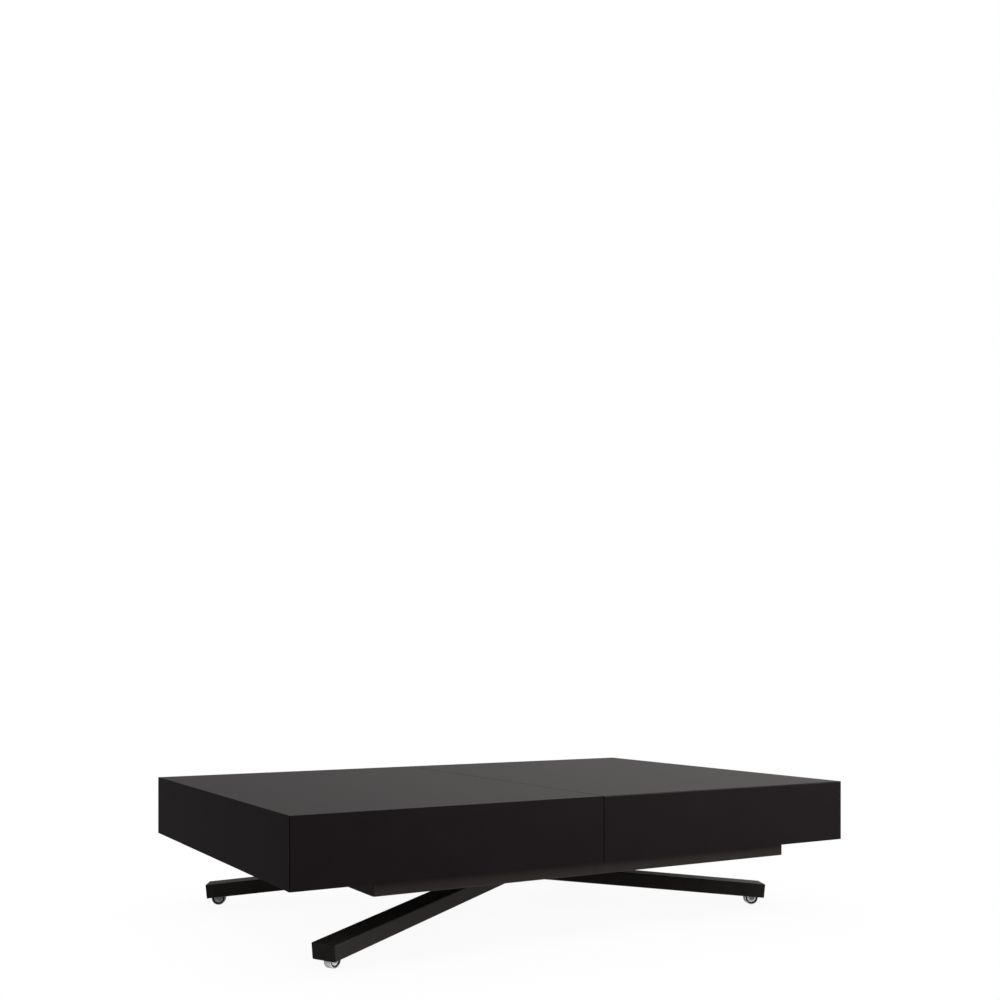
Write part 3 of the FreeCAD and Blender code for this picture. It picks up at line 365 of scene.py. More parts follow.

# %% [markdown]
# The finishes.
# The top is a smooth black lacquer with a satin sheen, a little warm in its gloss. The steel under it
# is powder coated: the same black, slightly brown, with a fine orange-peel texture. Castors, rollers,
# pins and the gas spring have the plain finishes of such hardware. Joint black isn't a slot of its own:
# it is the dead matt black of the thin lines where boards meet. Where it fills the seam between the
# halves, it is painted shade for the unlit inside of the gap.

# %% Finishes
LACQUER_GLOSS = (1.0, 0.84, 0.90)
FINISHES = {
    "black_board": finish("satin_black_lacquer", ((0.0076, 0.0054, 0.0060), (0.0092, 0.0068, 0.0074)),
                          roughness=(0.38, 0.46), coarse=14.0, fine=1300.0, fine_height=0.000006,
                          gloss=0.30, coarse_height=0.00003, gloss_tint=LACQUER_GLOSS),
    "leaf_board": finish("leaf_black_lacquer", ((0.0072, 0.0058, 0.0062), (0.0090, 0.0074, 0.0078)),
                         roughness=(0.40, 0.48), coarse=11.0, fine=1100.0, fine_height=0.000008,
                         gloss=0.30, coarse_height=0.00003, gloss_tint=LACQUER_GLOSS),
    "slide_wood": finish("stained_beech", ((0.030, 0.024, 0.020), (0.060, 0.046, 0.036)),
                         roughness=(0.45, 0.62), coarse=60.0, fine=420.0, fine_height=0.00004,
                         stretch=(0.06, 1, 1), gloss=0.4),
    "dowel_wood": finish("plain_beech", ((0.46, 0.32, 0.19), (0.60, 0.44, 0.28)),
                         roughness=(0.5, 0.66), coarse=90.0, fine=600.0, fine_height=0.00004,
                         stretch=(0.08, 1, 1), gloss=0.4),
    "frame_steel": finish("powder_coat_frame", ((0.0235, 0.0195, 0.0185), (0.0285, 0.0240, 0.0225)),
                          roughness=(0.40, 0.55), coarse=30.0, fine=1500.0, fine_height=0.00003,
                          gloss_tint=(1.0, 0.90, 0.86)),
    "leg_steel": finish("powder_coat_leg", ((0.0198, 0.0171, 0.0158), (0.0240, 0.0209, 0.0192)),
                        roughness=(0.36, 0.50), coarse=26.0, fine=1600.0, fine_height=0.00002,
                        gloss=0.28, gloss_tint=(1.0, 0.93, 0.90)),
    "arm_steel": finish("powder_coat_arm", ((0.0165, 0.0150, 0.0140), (0.0205, 0.0185, 0.0170)),
                        roughness=(0.40, 0.56), coarse=34.0, fine=1500.0, fine_height=0.00003),
    "guide_aluminium": finish("black_anodised", ((0.045, 0.044, 0.043), (0.065, 0.063, 0.061)),
                              roughness=(0.30, 0.42), coarse=300.0, fine=2400.0, fine_height=0.00001,
                              stretch=(0.02, 1, 1), metal=1.0),
    "bright_steel": finish("zinc_plate", ((0.58, 0.58, 0.59), (0.72, 0.71, 0.70)),
                           roughness=(0.22, 0.38), coarse=60.0, fine=900.0, fine_height=0.00001,
                           metal=0.55),
    "cylinder_paint": finish("gloss_black_paint", ((0.012, 0.012, 0.012), (0.018, 0.018, 0.018)),
                             roughness=(0.12, 0.2), coarse=20.0, fine=500.0, fine_height=0.000006,
                             coat=0.4),
    "cap_plastic": finish("matt_black_plastic", ((0.0100, 0.0086, 0.0080), (0.0135, 0.0118, 0.0110)),
                          roughness=(0.46, 0.6), coarse=40.0, fine=2200.0, fine_height=0.00002,
                          gloss=0.4),
    "tyre_grey": finish("grey_tread", ((0.76, 0.755, 0.74), (0.86, 0.855, 0.84)),
                        roughness=(0.22, 0.4), coarse=120.0, fine=1400.0, fine_height=0.00002),
    "rim_black": finish("black_hub_plastic", ((0.010, 0.010, 0.010), (0.015, 0.015, 0.015)),
                        roughness=(0.26, 0.36), coarse=60.0, fine=1800.0, fine_height=0.00001),
    "roller_nylon": finish("plain_nylon", ((0.62, 0.61, 0.58), (0.72, 0.71, 0.68)),
                           roughness=(0.36, 0.5), coarse=80.0, fine=1500.0, fine_height=0.00001),
    "button_plastic": finish("red_plastic", ((0.42, 0.03, 0.02), (0.50, 0.05, 0.035)),
                             roughness=(0.3, 0.42), coarse=80.0, fine=1500.0, fine_height=0.00001),
}
# Joint black is the dark of the real mitre joints, and painted shade where it fills the seam's gap.
JOINT_BLACK_AND_SEAM_SHADE = finish("joint_black_and_seam_shade", ((0.0016, 0.0013, 0.0013), (0.0024, 0.0020, 0.0020)),
                     roughness=(0.7, 0.85), coarse=40.0, fine=1200.0, fine_height=0.00001, gloss=0.0)

for entry in frame["record"]["subparts"]:
    node = nodes[entry["node"]]
    node.data.materials.clear()
    node.data.materials.append(FINISHES[entry["material_slot"]])
print("finishes on", len(nodes), "nodes")

# %% [markdown]
# Eased edges.
# No real board or tube ends in a knife edge. The CAD meshes are loose triangles, so a Weld modifier
# joins them first, and a Bevel then rounds every edge that turns by more than thirty degrees.
# The thin tips of the mitred boards turn by much more than a right angle, which picks them out for a
# wider Bevel of their own. Two such tips leave a fine groove, which is filled further down.

# %% Eased edges
EDGE_TURN = math.radians(30)
EASE_SEGMENTS = 2
WELD_REACH = 0.00001
MITRE_TURN = math.radians(100)
MITRE_EASE = 0.0019
MITRE_SEGMENTS = 5
BOARD_EASE = 0.0011
LEAF_EASE = 0.0006
TUBE_EASE = 0.0016
PLATE_EASE = 0.0004


def round_edges(node, name, width, turn, segments):
    """Adds a Bevel for every edge that turns by more than that angle."""
    bevel = node.modifiers.new(name, "BEVEL")
    bevel.width = width
    bevel.segments = segments
    bevel.limit_method = "ANGLE"
    bevel.angle_limit = turn


def ease(node, width, mitred=False):
    """Joins a CAD node's triangles and rounds its sharp edges, mitred tips first."""
    join = node.modifiers.new("join", "WELD")
    join.merge_threshold = WELD_REACH
    if mitred:
        round_edges(node, "mitre", MITRE_EASE, MITRE_TURN, MITRE_SEGMENTS)
    round_edges(node, "ease", width, EDGE_TURN, EASE_SEGMENTS)


for name, node in nodes.items():
    if name.endswith(("_panel", "_board")):
        ease(node, BOARD_EASE, mitred=True)
    elif name.endswith("_leaf"):
        ease(node, LEAF_EASE)
    elif name.startswith("frame_") or name.endswith("_bearer"):
        ease(node, TUBE_EASE)
    elif name.endswith(("_guide", "_slide", "_bracket", "_brackets", "_channels", "_lever", "_caps")):
        ease(node, PLATE_EASE)
print("eased nodes:", sum(1 for node in nodes.values() if node.modifiers))

# %% [markdown]
# Shapes from formulas.
# Every new piece is a surface worked out as one array of points. Rings of points are joined into
# quads, and a shape is nothing more than a rule for where the rings go: round an axis for turned
# work, along a path for weld beads, or over the octants of a ball for small moulded blocks.

# %% Vector helpers
STEEP_SHARE = 0.9


def vec(*values):
    """Those values as one array."""
    return np.array(values, float)


def unit(v):
    """A vector divided by its own length."""
    return v / np.linalg.norm(v)


def cross_pair(axis):
    """Two unit vectors square to the axis and to each other: the cross product of the axis with
    whichever of Z and X leans away from it, then the cross product with that."""
    axis = unit(axis)
    helper = vec(0, 0, 1) if abs(axis[2]) < STEEP_SHARE else vec(1, 0, 0)
    first = unit(np.cross(helper, axis))
    return first, np.cross(axis, first)


def circle_spokes(axis, steps):
    """Unit vectors cos t and sin t round an axis, for t in equal steps of a whole turn."""
    t = np.linspace(0, 2 * math.pi, steps, endpoint=False)
    first, second = cross_pair(axis)
    return np.outer(np.cos(t), first) + np.outer(np.sin(t), second)


print("four spokes round Z:", circle_spokes(vec(0, 0, 1), 4).round(3).tolist())

# %% Turned work
TURN_STEPS = 48


def grid(points, wrap_rows=False):
    """A shape from rings of points with shape (rings, points, 3): each point is joined to the next
    along its ring and to the same place on the next ring."""
    rows, cols = points.shape[:2]
    a, b = np.meshgrid(np.arange(rows if wrap_rows else rows - 1), np.arange(cols), indexing="ij")
    a, b = a.ravel(), b.ravel()
    a2, b2 = (a + 1) % rows, (b + 1) % cols
    quads = np.stack([a * cols + b, a2 * cols + b, a2 * cols + b2, a * cols + b2], axis=1)
    return points.reshape(-1, 3), quads


def turned(profile, centre, axis, steps=TURN_STEPS, closed=False):
    """Turned work: each (along, radius) of the profile becomes the circle
    centre + along * axis + radius * (cos t, sin t) in the plane square to the axis."""
    profile = np.array(profile, float)
    spokes = circle_spokes(axis, steps)
    points = centre + profile[:, 0, None, None] * unit(axis) + profile[:, 1, None, None] * spokes
    return grid(points, wrap_rows=closed)


print("a turned circle has", TURN_STEPS, "steps")

# %% Eased blocks
def eased_block(low, high, radius, quarter=4):
    """A block with round edges: the points of a small ball of that radius, each pushed out
    by the block's half size less the radius, with the sign of its own direction."""
    low, high = vec(*low), vec(*high)
    edge = np.linspace(0, math.pi / 2, quarter)
    rounds = np.concatenate([edge + k * math.pi / 2 for k in range(4)])
    rises = np.concatenate([edge - math.pi / 2, edge])[:, None]
    ball = np.stack([np.cos(rises) * np.cos(rounds), np.cos(rises) * np.sin(rounds),
                     np.sin(rises) + 0 * rounds], axis=-1)
    signs = np.empty(ball.shape)
    signs[..., :2] = np.repeat([[1, 1], [-1, 1], [-1, -1], [1, -1]], quarter, axis=0)
    signs[..., 2] = np.repeat([-1, 1], quarter)[:, None]
    points = (low + high) / 2 + radius * ball + signs * ((high - low) / 2 - radius)
    verts, quads = grid(points)
    corners = np.arange(0, 4 * quarter, quarter)
    caps = np.array([corners[::-1], len(verts) - 4 * quarter + corners])
    return verts, np.concatenate([quads, caps])


print("a unit block has", len(eased_block((0, 0, 0), (1, 1, 1), 0)[0]), "points")

# %% [markdown]
# From shapes to a piece.
# A closed surface starts and ends on the same points, so they are merged, and then every face can be
# turned outwards. Edges sharper than a certain turn stay crisp, and the rest is shaded smooth.

# %% Making a piece
SHARP_TURN = math.radians(32)
MERGE_REACH = 0.0000005
ENDS = (-1, 1)
HALVES = (("left", -1), ("right", 1))


def piece(name, shapes, body, slot_name, material=None):
    """Makes one object from shapes, closes its seams, and gives it its body and a finish: the one given, or else
    the slot's.
    """
    verts, faces, start = [], [], 0
    for points, quads in shapes:
        verts.append(points)
        faces += (quads + start).tolist()
        start += len(points)
    mesh = bpy.data.meshes.new(name)
    mesh.from_pydata(np.concatenate(verts).tolist(), [], faces)
    shell = bmesh.new()
    shell.from_mesh(mesh)
    bmesh.ops.remove_doubles(shell, verts=shell.verts, dist=MERGE_REACH)
    bmesh.ops.dissolve_degenerate(shell, edges=shell.edges, dist=MERGE_REACH)
    bmesh.ops.recalc_face_normals(shell, faces=shell.faces)
    shell.to_mesh(mesh)
    shell.free()
    mesh.shade_smooth()
    mesh.set_sharp_from_angle(angle=SHARP_TURN)
    made = bpy.data.objects.new(name, mesh)
    bpy.context.scene.collection.objects.link(made)
    mesh.materials.append(material or FINISHES[slot_name])
    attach(made, body)
    return made


print("pieces are sharp over", round(math.degrees(SHARP_TURN)), "degrees")

# %% [markdown]
# The castor wheels.
# Each wheel is a small hard wheel half sunk into its leg: a pale tread with a bright chamfer, a black
# ring on each side, and a pale ribbed disc round the axle. All of it is turned work, so one profile
# per part is enough. The centre and the axis come from the wheel's own joint in the frame.

# %% Wheel tread
WHEELS = ("outer_front", "outer_back", "inner_front", "inner_back")
WHEEL_RADIUS = 0.015
WHEEL_HALF = 0.008
WHEEL_STEPS = 72
AXLE_HOLE = 0.00255
CORE_HALF = 0.0039
TREAD_INNER = 0.0133
# In from the wheel's side, and down from its radius
TREAD_CHAMFER = ((0.0, 0.0015), (0.0002, 0.0011), (0.0010, 0.0002), (0.0014, 0.0))
# Out from the wheel's middle, and down from its radius
TREAD_GROOVE = ((0.0032, 0.0), (0.0030, 0.00035), (0.0026, 0.00035), (0.0024, 0.0))
spins = {joint["child"]: joint for joint in frame["joints"]}


def tread_profile():
    """Along and radius of a tread: on each side a step for the ring, a chamfer and a fine groove."""
    half = [(WHEEL_HALF, TREAD_INNER)]
    half += [(WHEEL_HALF - inwards, WHEEL_RADIUS - down) for inwards, down in TREAD_CHAMFER]
    half += [(along, WHEEL_RADIUS - down) for along, down in TREAD_GROOVE]
    return half + [(-along, radius) for along, radius in reversed(half)]


def core_profile():
    """Along and radius of the plain sleeve under the tread, round the axle."""
    return [(-CORE_HALF, AXLE_HOLE), (-CORE_HALF, TREAD_INNER),
            (CORE_HALF, TREAD_INNER), (CORE_HALF, AXLE_HOLE)]


print("tread profile:", len(tread_profile()), "points")

# %% Wheel ring
RING_INNER = 0.0100
RING_BEAD = 0.0006
RING_BEAD_STEPS = 7
# How far each part of the ring lies in from the wheel's side
RING_SINK = 0.0012
LIP_SINK = 0.0009
STEP_SINK = 0.0011
RING_BACK_SINK = 0.0040
LIP_GAP = 0.00025


def ring_profile(sign):
    """A black ring on one side of the wheel: a half circle of bead at its inner edge, a lip, and a
    small step down to the tread."""
    rows = [(RING_SINK - RING_BEAD * math.sin(a), RING_INNER + RING_BEAD - RING_BEAD * math.cos(a))
            for a in np.linspace(0, math.pi, RING_BEAD_STEPS)]
    rows += [(LIP_SINK, TREAD_INNER - LIP_GAP), (STEP_SINK, TREAD_INNER),
             (RING_BACK_SINK, TREAD_INNER), (RING_BACK_SINK, RING_INNER)]
    return [(sign * (WHEEL_HALF - sink), radius) for sink, radius in rows]


print("ring profile:", len(ring_profile(1)), "points")

# %% Wheel disc
DISC_OVERLAP = 0.0002
DISC_SINK = 0.0022
DISC_BACK_SINK = 0.0045
DISC_RINGS = 12
RIB_COUNT = 6
RIB_HEIGHT = 0.0010
RIB_SLOPE = 4.0
RIB_CUT = 2.4
RIB_REACH = 1.1
HUB_SHARE = 0.30
HUB_SLOPE = 12.0


def ribbed_disc(centre, axis, sign):
    """A dished disc whose depth also falls and rises round the axle. A rib is cos(ribs * t), steepened
    and cut off at 0 and 1, times the root of a sine from hub to ring. The hub is a steep ramp."""
    t = np.linspace(0, 2 * math.pi, WHEEL_STEPS, endpoint=False)
    share = np.linspace(0, 1, DISC_RINGS)[:, None]
    radius = AXLE_HOLE + share * (RING_INNER + DISC_OVERLAP - AXLE_HOLE)
    swell = np.sqrt(np.sin(math.pi * np.clip(share * RIB_REACH, 0, 1)))
    ribs = np.clip(np.cos(RIB_COUNT * t) * RIB_SLOPE - RIB_CUT, 0, 1) * swell
    hub = np.clip((HUB_SHARE - share) * HUB_SLOPE, 0, 1)
    along = sign * (WHEEL_HALF - DISC_SINK + RIB_HEIGHT * np.maximum(ribs, hub))
    spokes = circle_spokes(axis, WHEEL_STEPS)
    front = centre + along[..., None] * unit(axis) + radius[..., None] * spokes
    back_along = np.full_like(along, sign * (WHEEL_HALF - DISC_BACK_SINK))
    back = centre + back_along[..., None] * unit(axis) + radius[::-1, :, None] * spokes
    return grid(np.concatenate([front, back]), wrap_rows=True)


for corner in WHEELS:
    body = corner + "_wheel"
    centre, axis = vec(*spins[body]["pos_m"]), vec(*spins[body]["axis"])
    tread_shape = turned(tread_profile(), centre, axis, WHEEL_STEPS, closed=True)
    tread = piece(corner + "_tread", [tread_shape], body, "tyre_grey")
    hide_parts(corner + "_wheel_tyre")
    ring_shapes = [turned(ring_profile(sign), centre, axis, WHEEL_STEPS, closed=True) for sign in ENDS]
    core_shape = turned(core_profile(), centre, axis, closed=True)
    rings = piece(corner + "_rings", ring_shapes + [core_shape], body, "rim_black")
    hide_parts(corner + "_wheel_rim")
    disc_shapes = [ribbed_disc(centre, axis, sign) for sign in ENDS]
    discs = piece(corner + "_discs", disc_shapes, body, "tyre_grey")
    if corner.endswith("front"):
        lit_castors.objects.link(tread)
        lit_castors.objects.link(discs)
print("wheels:", len(WHEELS))

# %% [markdown]
# The joint lines.
# In the picture a thin dark line runs along every mitred corner of the box, and a darker one fills
# the seam, where the inside of the gap lies in shade. The corners get a slim round filler that touches
# both faces from inside, and the right half gets a strip of painted shade, dead matt black, on its seam
# edge, with gaps where the dowels pass. Without the strip the bright catches under the seam would
# glint through it from above.

# %% Corner fillers
FILLER_RADIUS = 0.0020
FILLER_DEPTH = 0.00205
FILLER_SIDES = 24
board_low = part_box("right_front_board")[0]
box_x, box_y, box_top = cad_high
seam_x, box_bottom = board_low[0], board_low[2]
fill_x, fill_y, fill_z = box_x - FILLER_DEPTH, box_y - FILLER_DEPTH, box_top - FILLER_DEPTH


def filler(start, end):
    """A round rod with flat ends, turned about the line from start to end."""
    start, end = vec(*start), vec(*end)
    length = np.linalg.norm(end - start)
    profile = [(0, 0), (0, FILLER_RADIUS), (length, FILLER_RADIUS), (length, 0)]
    return turned(profile, start, end - start, FILLER_SIDES)


for name, side in HALVES:
    x = side * fill_x
    mitres = [filler((x, y, box_bottom + FILLER_DEPTH), (x, y, fill_z)) for y in (-fill_y, fill_y)]
    mitres.append(filler((x, -fill_y, fill_z), (x, fill_y, fill_z)))
    piece(name + "_mitre_fillers", mitres, name + "_top", "black_board", JOINT_BLACK_AND_SEAM_SHADE)
    edges = [filler((side * seam_x, y, fill_z), (x, y, fill_z)) for y in (-fill_y, fill_y)]
    piece(name + "_edge_fillers", edges, name + "_top", "black_board")
print("corner fillers for", len(HALVES), "halves")

# %% Seam strips
SEAM_STRIP = 0.0017
SEAM_SET_BACK = 0.0009
STRIP_EASE = SEAM_STRIP / 3
SIDE_STRIP = 0.012
DOWEL_Y = 0.302
DOWEL_CLEAR = 0.005
panel_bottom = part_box("right_top_panel")[0][2]
strip_end, strip_top = box_y - SEAM_SET_BACK, box_top - SEAM_SET_BACK
gap_near, gap_far = DOWEL_Y - DOWEL_CLEAR, DOWEL_Y + DOWEL_CLEAR
strip_places = (
    (-strip_end, -gap_far, panel_bottom),
    (-gap_near, gap_near, panel_bottom),
    (gap_far, strip_end, panel_bottom),
    (-strip_end, SIDE_STRIP - strip_end, box_bottom),
    (strip_end - SIDE_STRIP, strip_end, box_bottom),
)
strips = [eased_block((seam_x - SEAM_STRIP, y0, z0), (seam_x, y1, strip_top), STRIP_EASE)
          for y0, y1, z0 in strip_places]
# Painted shade: these strips are dead matt black and stand for the dark inside of the seam's gap.
piece("seam_shade_strips", strips, "right_top", "black_board", JOINT_BLACK_AND_SEAM_SHADE)
print("seam strips:", len(strips))

# %% [markdown]
# Where the steel stands.
# The welds and the small hardware follow the steelwork. Most of its places are read from the frame's
# own boxes and joints. A sloping leg has no box of its own direction, so it gets three unit vectors:
# along the leg, level across it, and square to both.

# %% Steelwork places
FOOT_X, FOOT_Z = 0.534, 0.03205
# The end of the table where the feet are, and how far the leg is from the middle at foot and hub
LEG_LINES = {"outer": (-1, 0.342, 0.068), "inner": (1, 0.270, 0.033)}
LEG_WIDTH = 0.0524
LEG_HEIGHT = 0.0301
KNUCKLE_RADIUS = 0.020
ARM_HALF = 0.014
SHAFT_RADIUS = 0.010
SPRING_Y = -0.100
hub = vec(*spins["inner_legs"]["pos_m"])
pivot = vec(*spins["outer_legs"]["pos_m"])
arm_slope = unit((pivot - hub) * vec(1, 0, 1))


def mirrored(point, x=1, y=1):
    """A point with its X and Y multiplied by the two signs."""
    return vec(*point) * vec(x, y, 1)


def leg_frame(name, back):
    """The foot of a leg and its vectors along, across and square, as a front (-1) or back (1) leg:
    from foot to hub, the cross product of up with that, and the cross product of the two."""
    side, foot_y, hub_y = LEG_LINES[name]
    foot = vec(side * FOOT_X, back * foot_y, FOOT_Z)
    along = unit(vec(0, back * hub_y, hub[2]) - foot)
    across = unit(np.cross(vec(0, 0, 1), along))
    return foot, along, across, np.cross(along, across)


print("arm slope:", round(math.degrees(math.asin(arm_slope[2])), 2), "degrees")

# %% [markdown]
# Weld beads.
# A weld is a bead of metal that froze in small ripples. The steel is already in its place, so a bead
# only needs the path of its joint: a round section is carried along the path and swells and shrinks
# with a sine, one wave for every ripple.

# %% Weld bead
BEAD = 0.0017
FINE_BEAD = 0.0012
RIPPLE = 0.0016
RIPPLE_POINTS = 4
LEAST_POINTS = 8
BEAD_SIDES = 8
SWELL_SHARE = 0.10
TAPER_POWER = 16
STEEP_PATH_SHARE = 0.8
STEEP_HELPER = (0.6, 0.8, 0)


def bead(path, radius, loop=False):
    """A weld bead: a circle of radius * (1 + share * sin(2 pi run / ripple)) round each point of the
    path. An open bead tapers at both ends by the root of 1 - u ** power, with u from -1 to 1."""
    path = np.array(path, float)
    if loop:
        path = np.concatenate([path, path[:1]])
    steps = np.linalg.norm(np.diff(path, axis=0), axis=1)
    run = np.concatenate([[0], np.cumsum(steps)])
    count = max(int(run[-1] / RIPPLE * RIPPLE_POINTS), LEAST_POINTS)
    at = np.linspace(0, run[-1], count)
    centre = np.stack([np.interp(at, run, path[:, k]) for k in range(3)], axis=1)
    ahead = np.gradient(centre, axis=0)
    ahead /= np.linalg.norm(ahead, axis=1, keepdims=True)
    helper = np.where(np.abs(ahead[:, 2:]) < STEEP_PATH_SHARE, vec(0, 0, 1), vec(*STEEP_HELPER))
    first = np.cross(helper, ahead)
    first /= np.linalg.norm(first, axis=1, keepdims=True)
    second = np.cross(ahead, first)
    size = radius * (1 + SWELL_SHARE * np.sin(2 * math.pi * at / RIPPLE))
    if not loop:
        size = size * np.sqrt(np.clip(1 - (2 * at / run[-1] - 1) ** TAPER_POWER, 0, 1))
    t = np.linspace(0, 2 * math.pi, BEAD_SIDES, endpoint=False)
    ring = first[:, None] * np.cos(t)[:, None] + second[:, None] * np.sin(t)[:, None]
    return grid(centre[:, None] + size[:, None, None] * ring)


print("bead radii:", BEAD, "and", FINE_BEAD)

# %% [markdown]
# Welds of the leg frames.
# Each leg is cut to a round knuckle and welded along its top and bottom edge. The line of the weld is
# where the leg's edge meets the knuckle: every point of the edge is pushed along the leg until its
# distance from the hub axis is the knuckle's radius, which is one quadratic for the whole array.
# The arms meet the knuckle in the same way, and rings close the shafts that pass through an arm.

# %% Leg welds
KNUCKLE_NEAR_Y = {"outer": 0.0595, "inner": 0.0185}
EDGE_POINTS = 160


def cope_line(start, ahead, radius, centre):
    """Points start + t * ahead on the cylinder of that radius along Y. The smaller root of
    a*t*t + 2*b*t + c = 0 is the side that the tube comes from."""
    dx, dz = start[:, 0] - centre[0], start[:, 2] - centre[2]
    a = ahead[0] ** 2 + ahead[2] ** 2
    b = dx * ahead[0] + dz * ahead[2]
    c = dx ** 2 + dz ** 2 - radius ** 2
    t = (-b - np.sqrt(b ** 2 - a * c)) / a
    return start + t[:, None] * ahead


def leg_weld(name, back, edge_sign):
    """The weld along the top or bottom edge of a leg, over the width of its knuckle."""
    foot, along, across, square = leg_frame(name, back)
    near_y, far_y = KNUCKLE_NEAR_Y[name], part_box(name + "_hub_knuckles")[1][1]
    share = np.linspace(-0.5, 0.5, EDGE_POINTS)[:, None]
    edge = foot + share * LEG_WIDTH * across + edge_sign * LEG_HEIGHT / 2 * square
    line = cope_line(edge, along, KNUCKLE_RADIUS, hub)
    reach = np.abs(line[:, 1])
    return bead(line[(reach > near_y + BEAD) & (reach < far_y - BEAD)], BEAD)


def brace_weld(name, back):
    """The weld round the end of a brace. Its four corners are moved along Y to the leg's near side,
    the level line where the distance across the leg is half its width."""
    foot, _, across, _ = leg_frame(name, back)
    low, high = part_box(name + "_brace")
    near = -back * math.copysign(LEG_WIDTH / 2, across[1])
    corners = np.array([(low[0], 0, low[2]), (high[0], 0, low[2]),
                        (high[0], 0, high[2]), (low[0], 0, high[2])])
    corners[:, 1] = foot[1] + (near - (corners[:, 0] - foot[0]) * across[0]) / across[1]
    return bead(corners, FINE_BEAD, loop=True)


for name in ("outer", "inner"):
    welds = [leg_weld(name, back, sign) for back in ENDS for sign in ENDS]
    welds += [brace_weld(name, back) for back in ENDS]
    piece(name + "_leg_welds", welds, name + "_legs", "arm_steel")
print("leg welds on each frame:", len(welds))

# %% Arm welds
ARM_START = 0.056
ARM_POINTS = 24
RING_POINTS = 40
OUTER_ARM_Y = 0.018
INNER_ARM_Y = (0.022, 0.038)


def arm_weld(side, y0, y1, edge_sign):
    """The weld along the top or bottom edge of an arm, where it meets its knuckle. It is worked out
    from a level line across the arm, well outside the knuckle."""
    slope = mirrored(arm_slope, side)
    rise = mirrored((-arm_slope[2], 0, arm_slope[0]), side)
    middle = hub + slope * ARM_START + edge_sign * ARM_HALF * rise
    ys = np.linspace(y0 + FINE_BEAD, y1 - FINE_BEAD, ARM_POINTS)
    start = middle * vec(1, 0, 1) + ys[:, None] * vec(0, 1, 0)
    return bead(cope_line(start, -slope, KNUCKLE_RADIUS, hub), FINE_BEAD)


def ring_weld(centre, radius):
    """A weld round a shaft that lies along Y: the circle centre + radius * (cos t, 0, sin t)."""
    t = np.linspace(0, 2 * math.pi, RING_POINTS, endpoint=False)
    circle = centre + radius * np.stack([np.cos(t), 0 * t, np.sin(t)], axis=1)
    return bead(circle, FINE_BEAD, loop=True)


welds = [arm_weld(1, -OUTER_ARM_Y, OUTER_ARM_Y, sign) for sign in ENDS]
welds += [ring_weld(mirrored((pivot[0], OUTER_ARM_Y, pivot[2]), y=back), ARM_HALF) for back in ENDS]
piece("outer_arm_welds", welds, "outer_legs", "arm_steel")
welds = [arm_weld(-1, *sorted(back * y for y in INNER_ARM_Y), sign) for back in ENDS for sign in ENDS]
welds += [ring_weld(mirrored((-pivot[0], y, pivot[2]), y=back), SHAFT_RADIUS)
          for y in INNER_ARM_Y for back in ENDS]
piece("inner_arm_welds", welds, "inner_legs", "arm_steel")
print("arm welds on the inner frame:", len(welds))

# %% [markdown]
# Welds of the subframe.
# Rails, bearers, roller channels and brackets are joined by short fillet welds in their corners. Each
# is a path of a few points, written once for the back right and mirrored by signs.

# %% Subframe welds
CHANNEL_NEAR_Y = 0.140
CHEEK_NEAR_Y = 0.139
rail_low, rail_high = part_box("frame_left_rail")
rail_x, rail_y = -rail_high[0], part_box("frame_back_rail")[0][1]
bearer_low, bearer_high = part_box("right_leaf_bearer")
channel_low, channel_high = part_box("roller_channels")
cheek_low, cheek_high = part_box("pivot_brackets")


def both_ways(points, radius, xs=ENDS, loop=False):
    """The same path as a weld at each of the signs xs along X, and at the front and the back."""
    return [bead([mirrored(point, x, y) for point in points], radius, loop=loop) for x in xs for y in ENDS]


corner_line = [(rail_x, rail_y, rail_low[2] + BEAD), (rail_x, rail_y, rail_high[2] - BEAD)]
piece("frame_corner_welds", both_ways(corner_line, BEAD), "table_frame", "frame_steel")

bearer_top = bearer_high[2] - FINE_BEAD
bearer_line = [(bearer_low[0], rail_y, bearer_top), (bearer_low[0], rail_y, bearer_low[2]),
               (bearer_high[0], rail_y, bearer_low[2]), (bearer_high[0], rail_y, bearer_top)]
piece("bearer_welds", both_ways(bearer_line, FINE_BEAD), "table_frame", "frame_steel")

channel_end = [(-rail_x, CHANNEL_NEAR_Y, channel_low[2]), (-rail_x, channel_high[1], channel_low[2]),
               (-rail_x, channel_high[1], channel_high[2]), (-rail_x, CHANNEL_NEAR_Y, channel_high[2])]
channel_top = [(-bearer_low[0], channel_high[1], channel_high[2]),
               (-bearer_high[0], channel_high[1], channel_high[2])]
cheek_end = [(rail_x, CHEEK_NEAR_Y, cheek_low[2]), (rail_x, cheek_high[1], cheek_low[2]),
             (rail_x, cheek_high[1], cheek_high[2]), (rail_x, CHEEK_NEAR_Y, cheek_high[2])]
welds = both_ways(channel_end, FINE_BEAD, xs=(1,)) + both_ways(channel_top, FINE_BEAD, xs=(1,))
welds += both_ways(cheek_end, FINE_BEAD, xs=(1,), loop=True)
piece("bracket_welds", welds, "table_frame", "frame_steel")
print("bracket welds:", len(welds))

# %% [markdown]
# Gas spring fittings.
# The rod leaves a gas spring through a rubber wiper that a rolled-in collar holds in the cylinder's
# mouth. Both are turned work about the rod's line, and start at the cylinder's end.

# %% Gas spring fittings
SPRING_RADIUS = 0.0110
ROD_RADIUS = 0.004
COLLAR_HALF = 0.0012
COLLAR_START = 0.0002
COLLAR_LENGTH = 0.0022
COLLAR_STEPS = 9
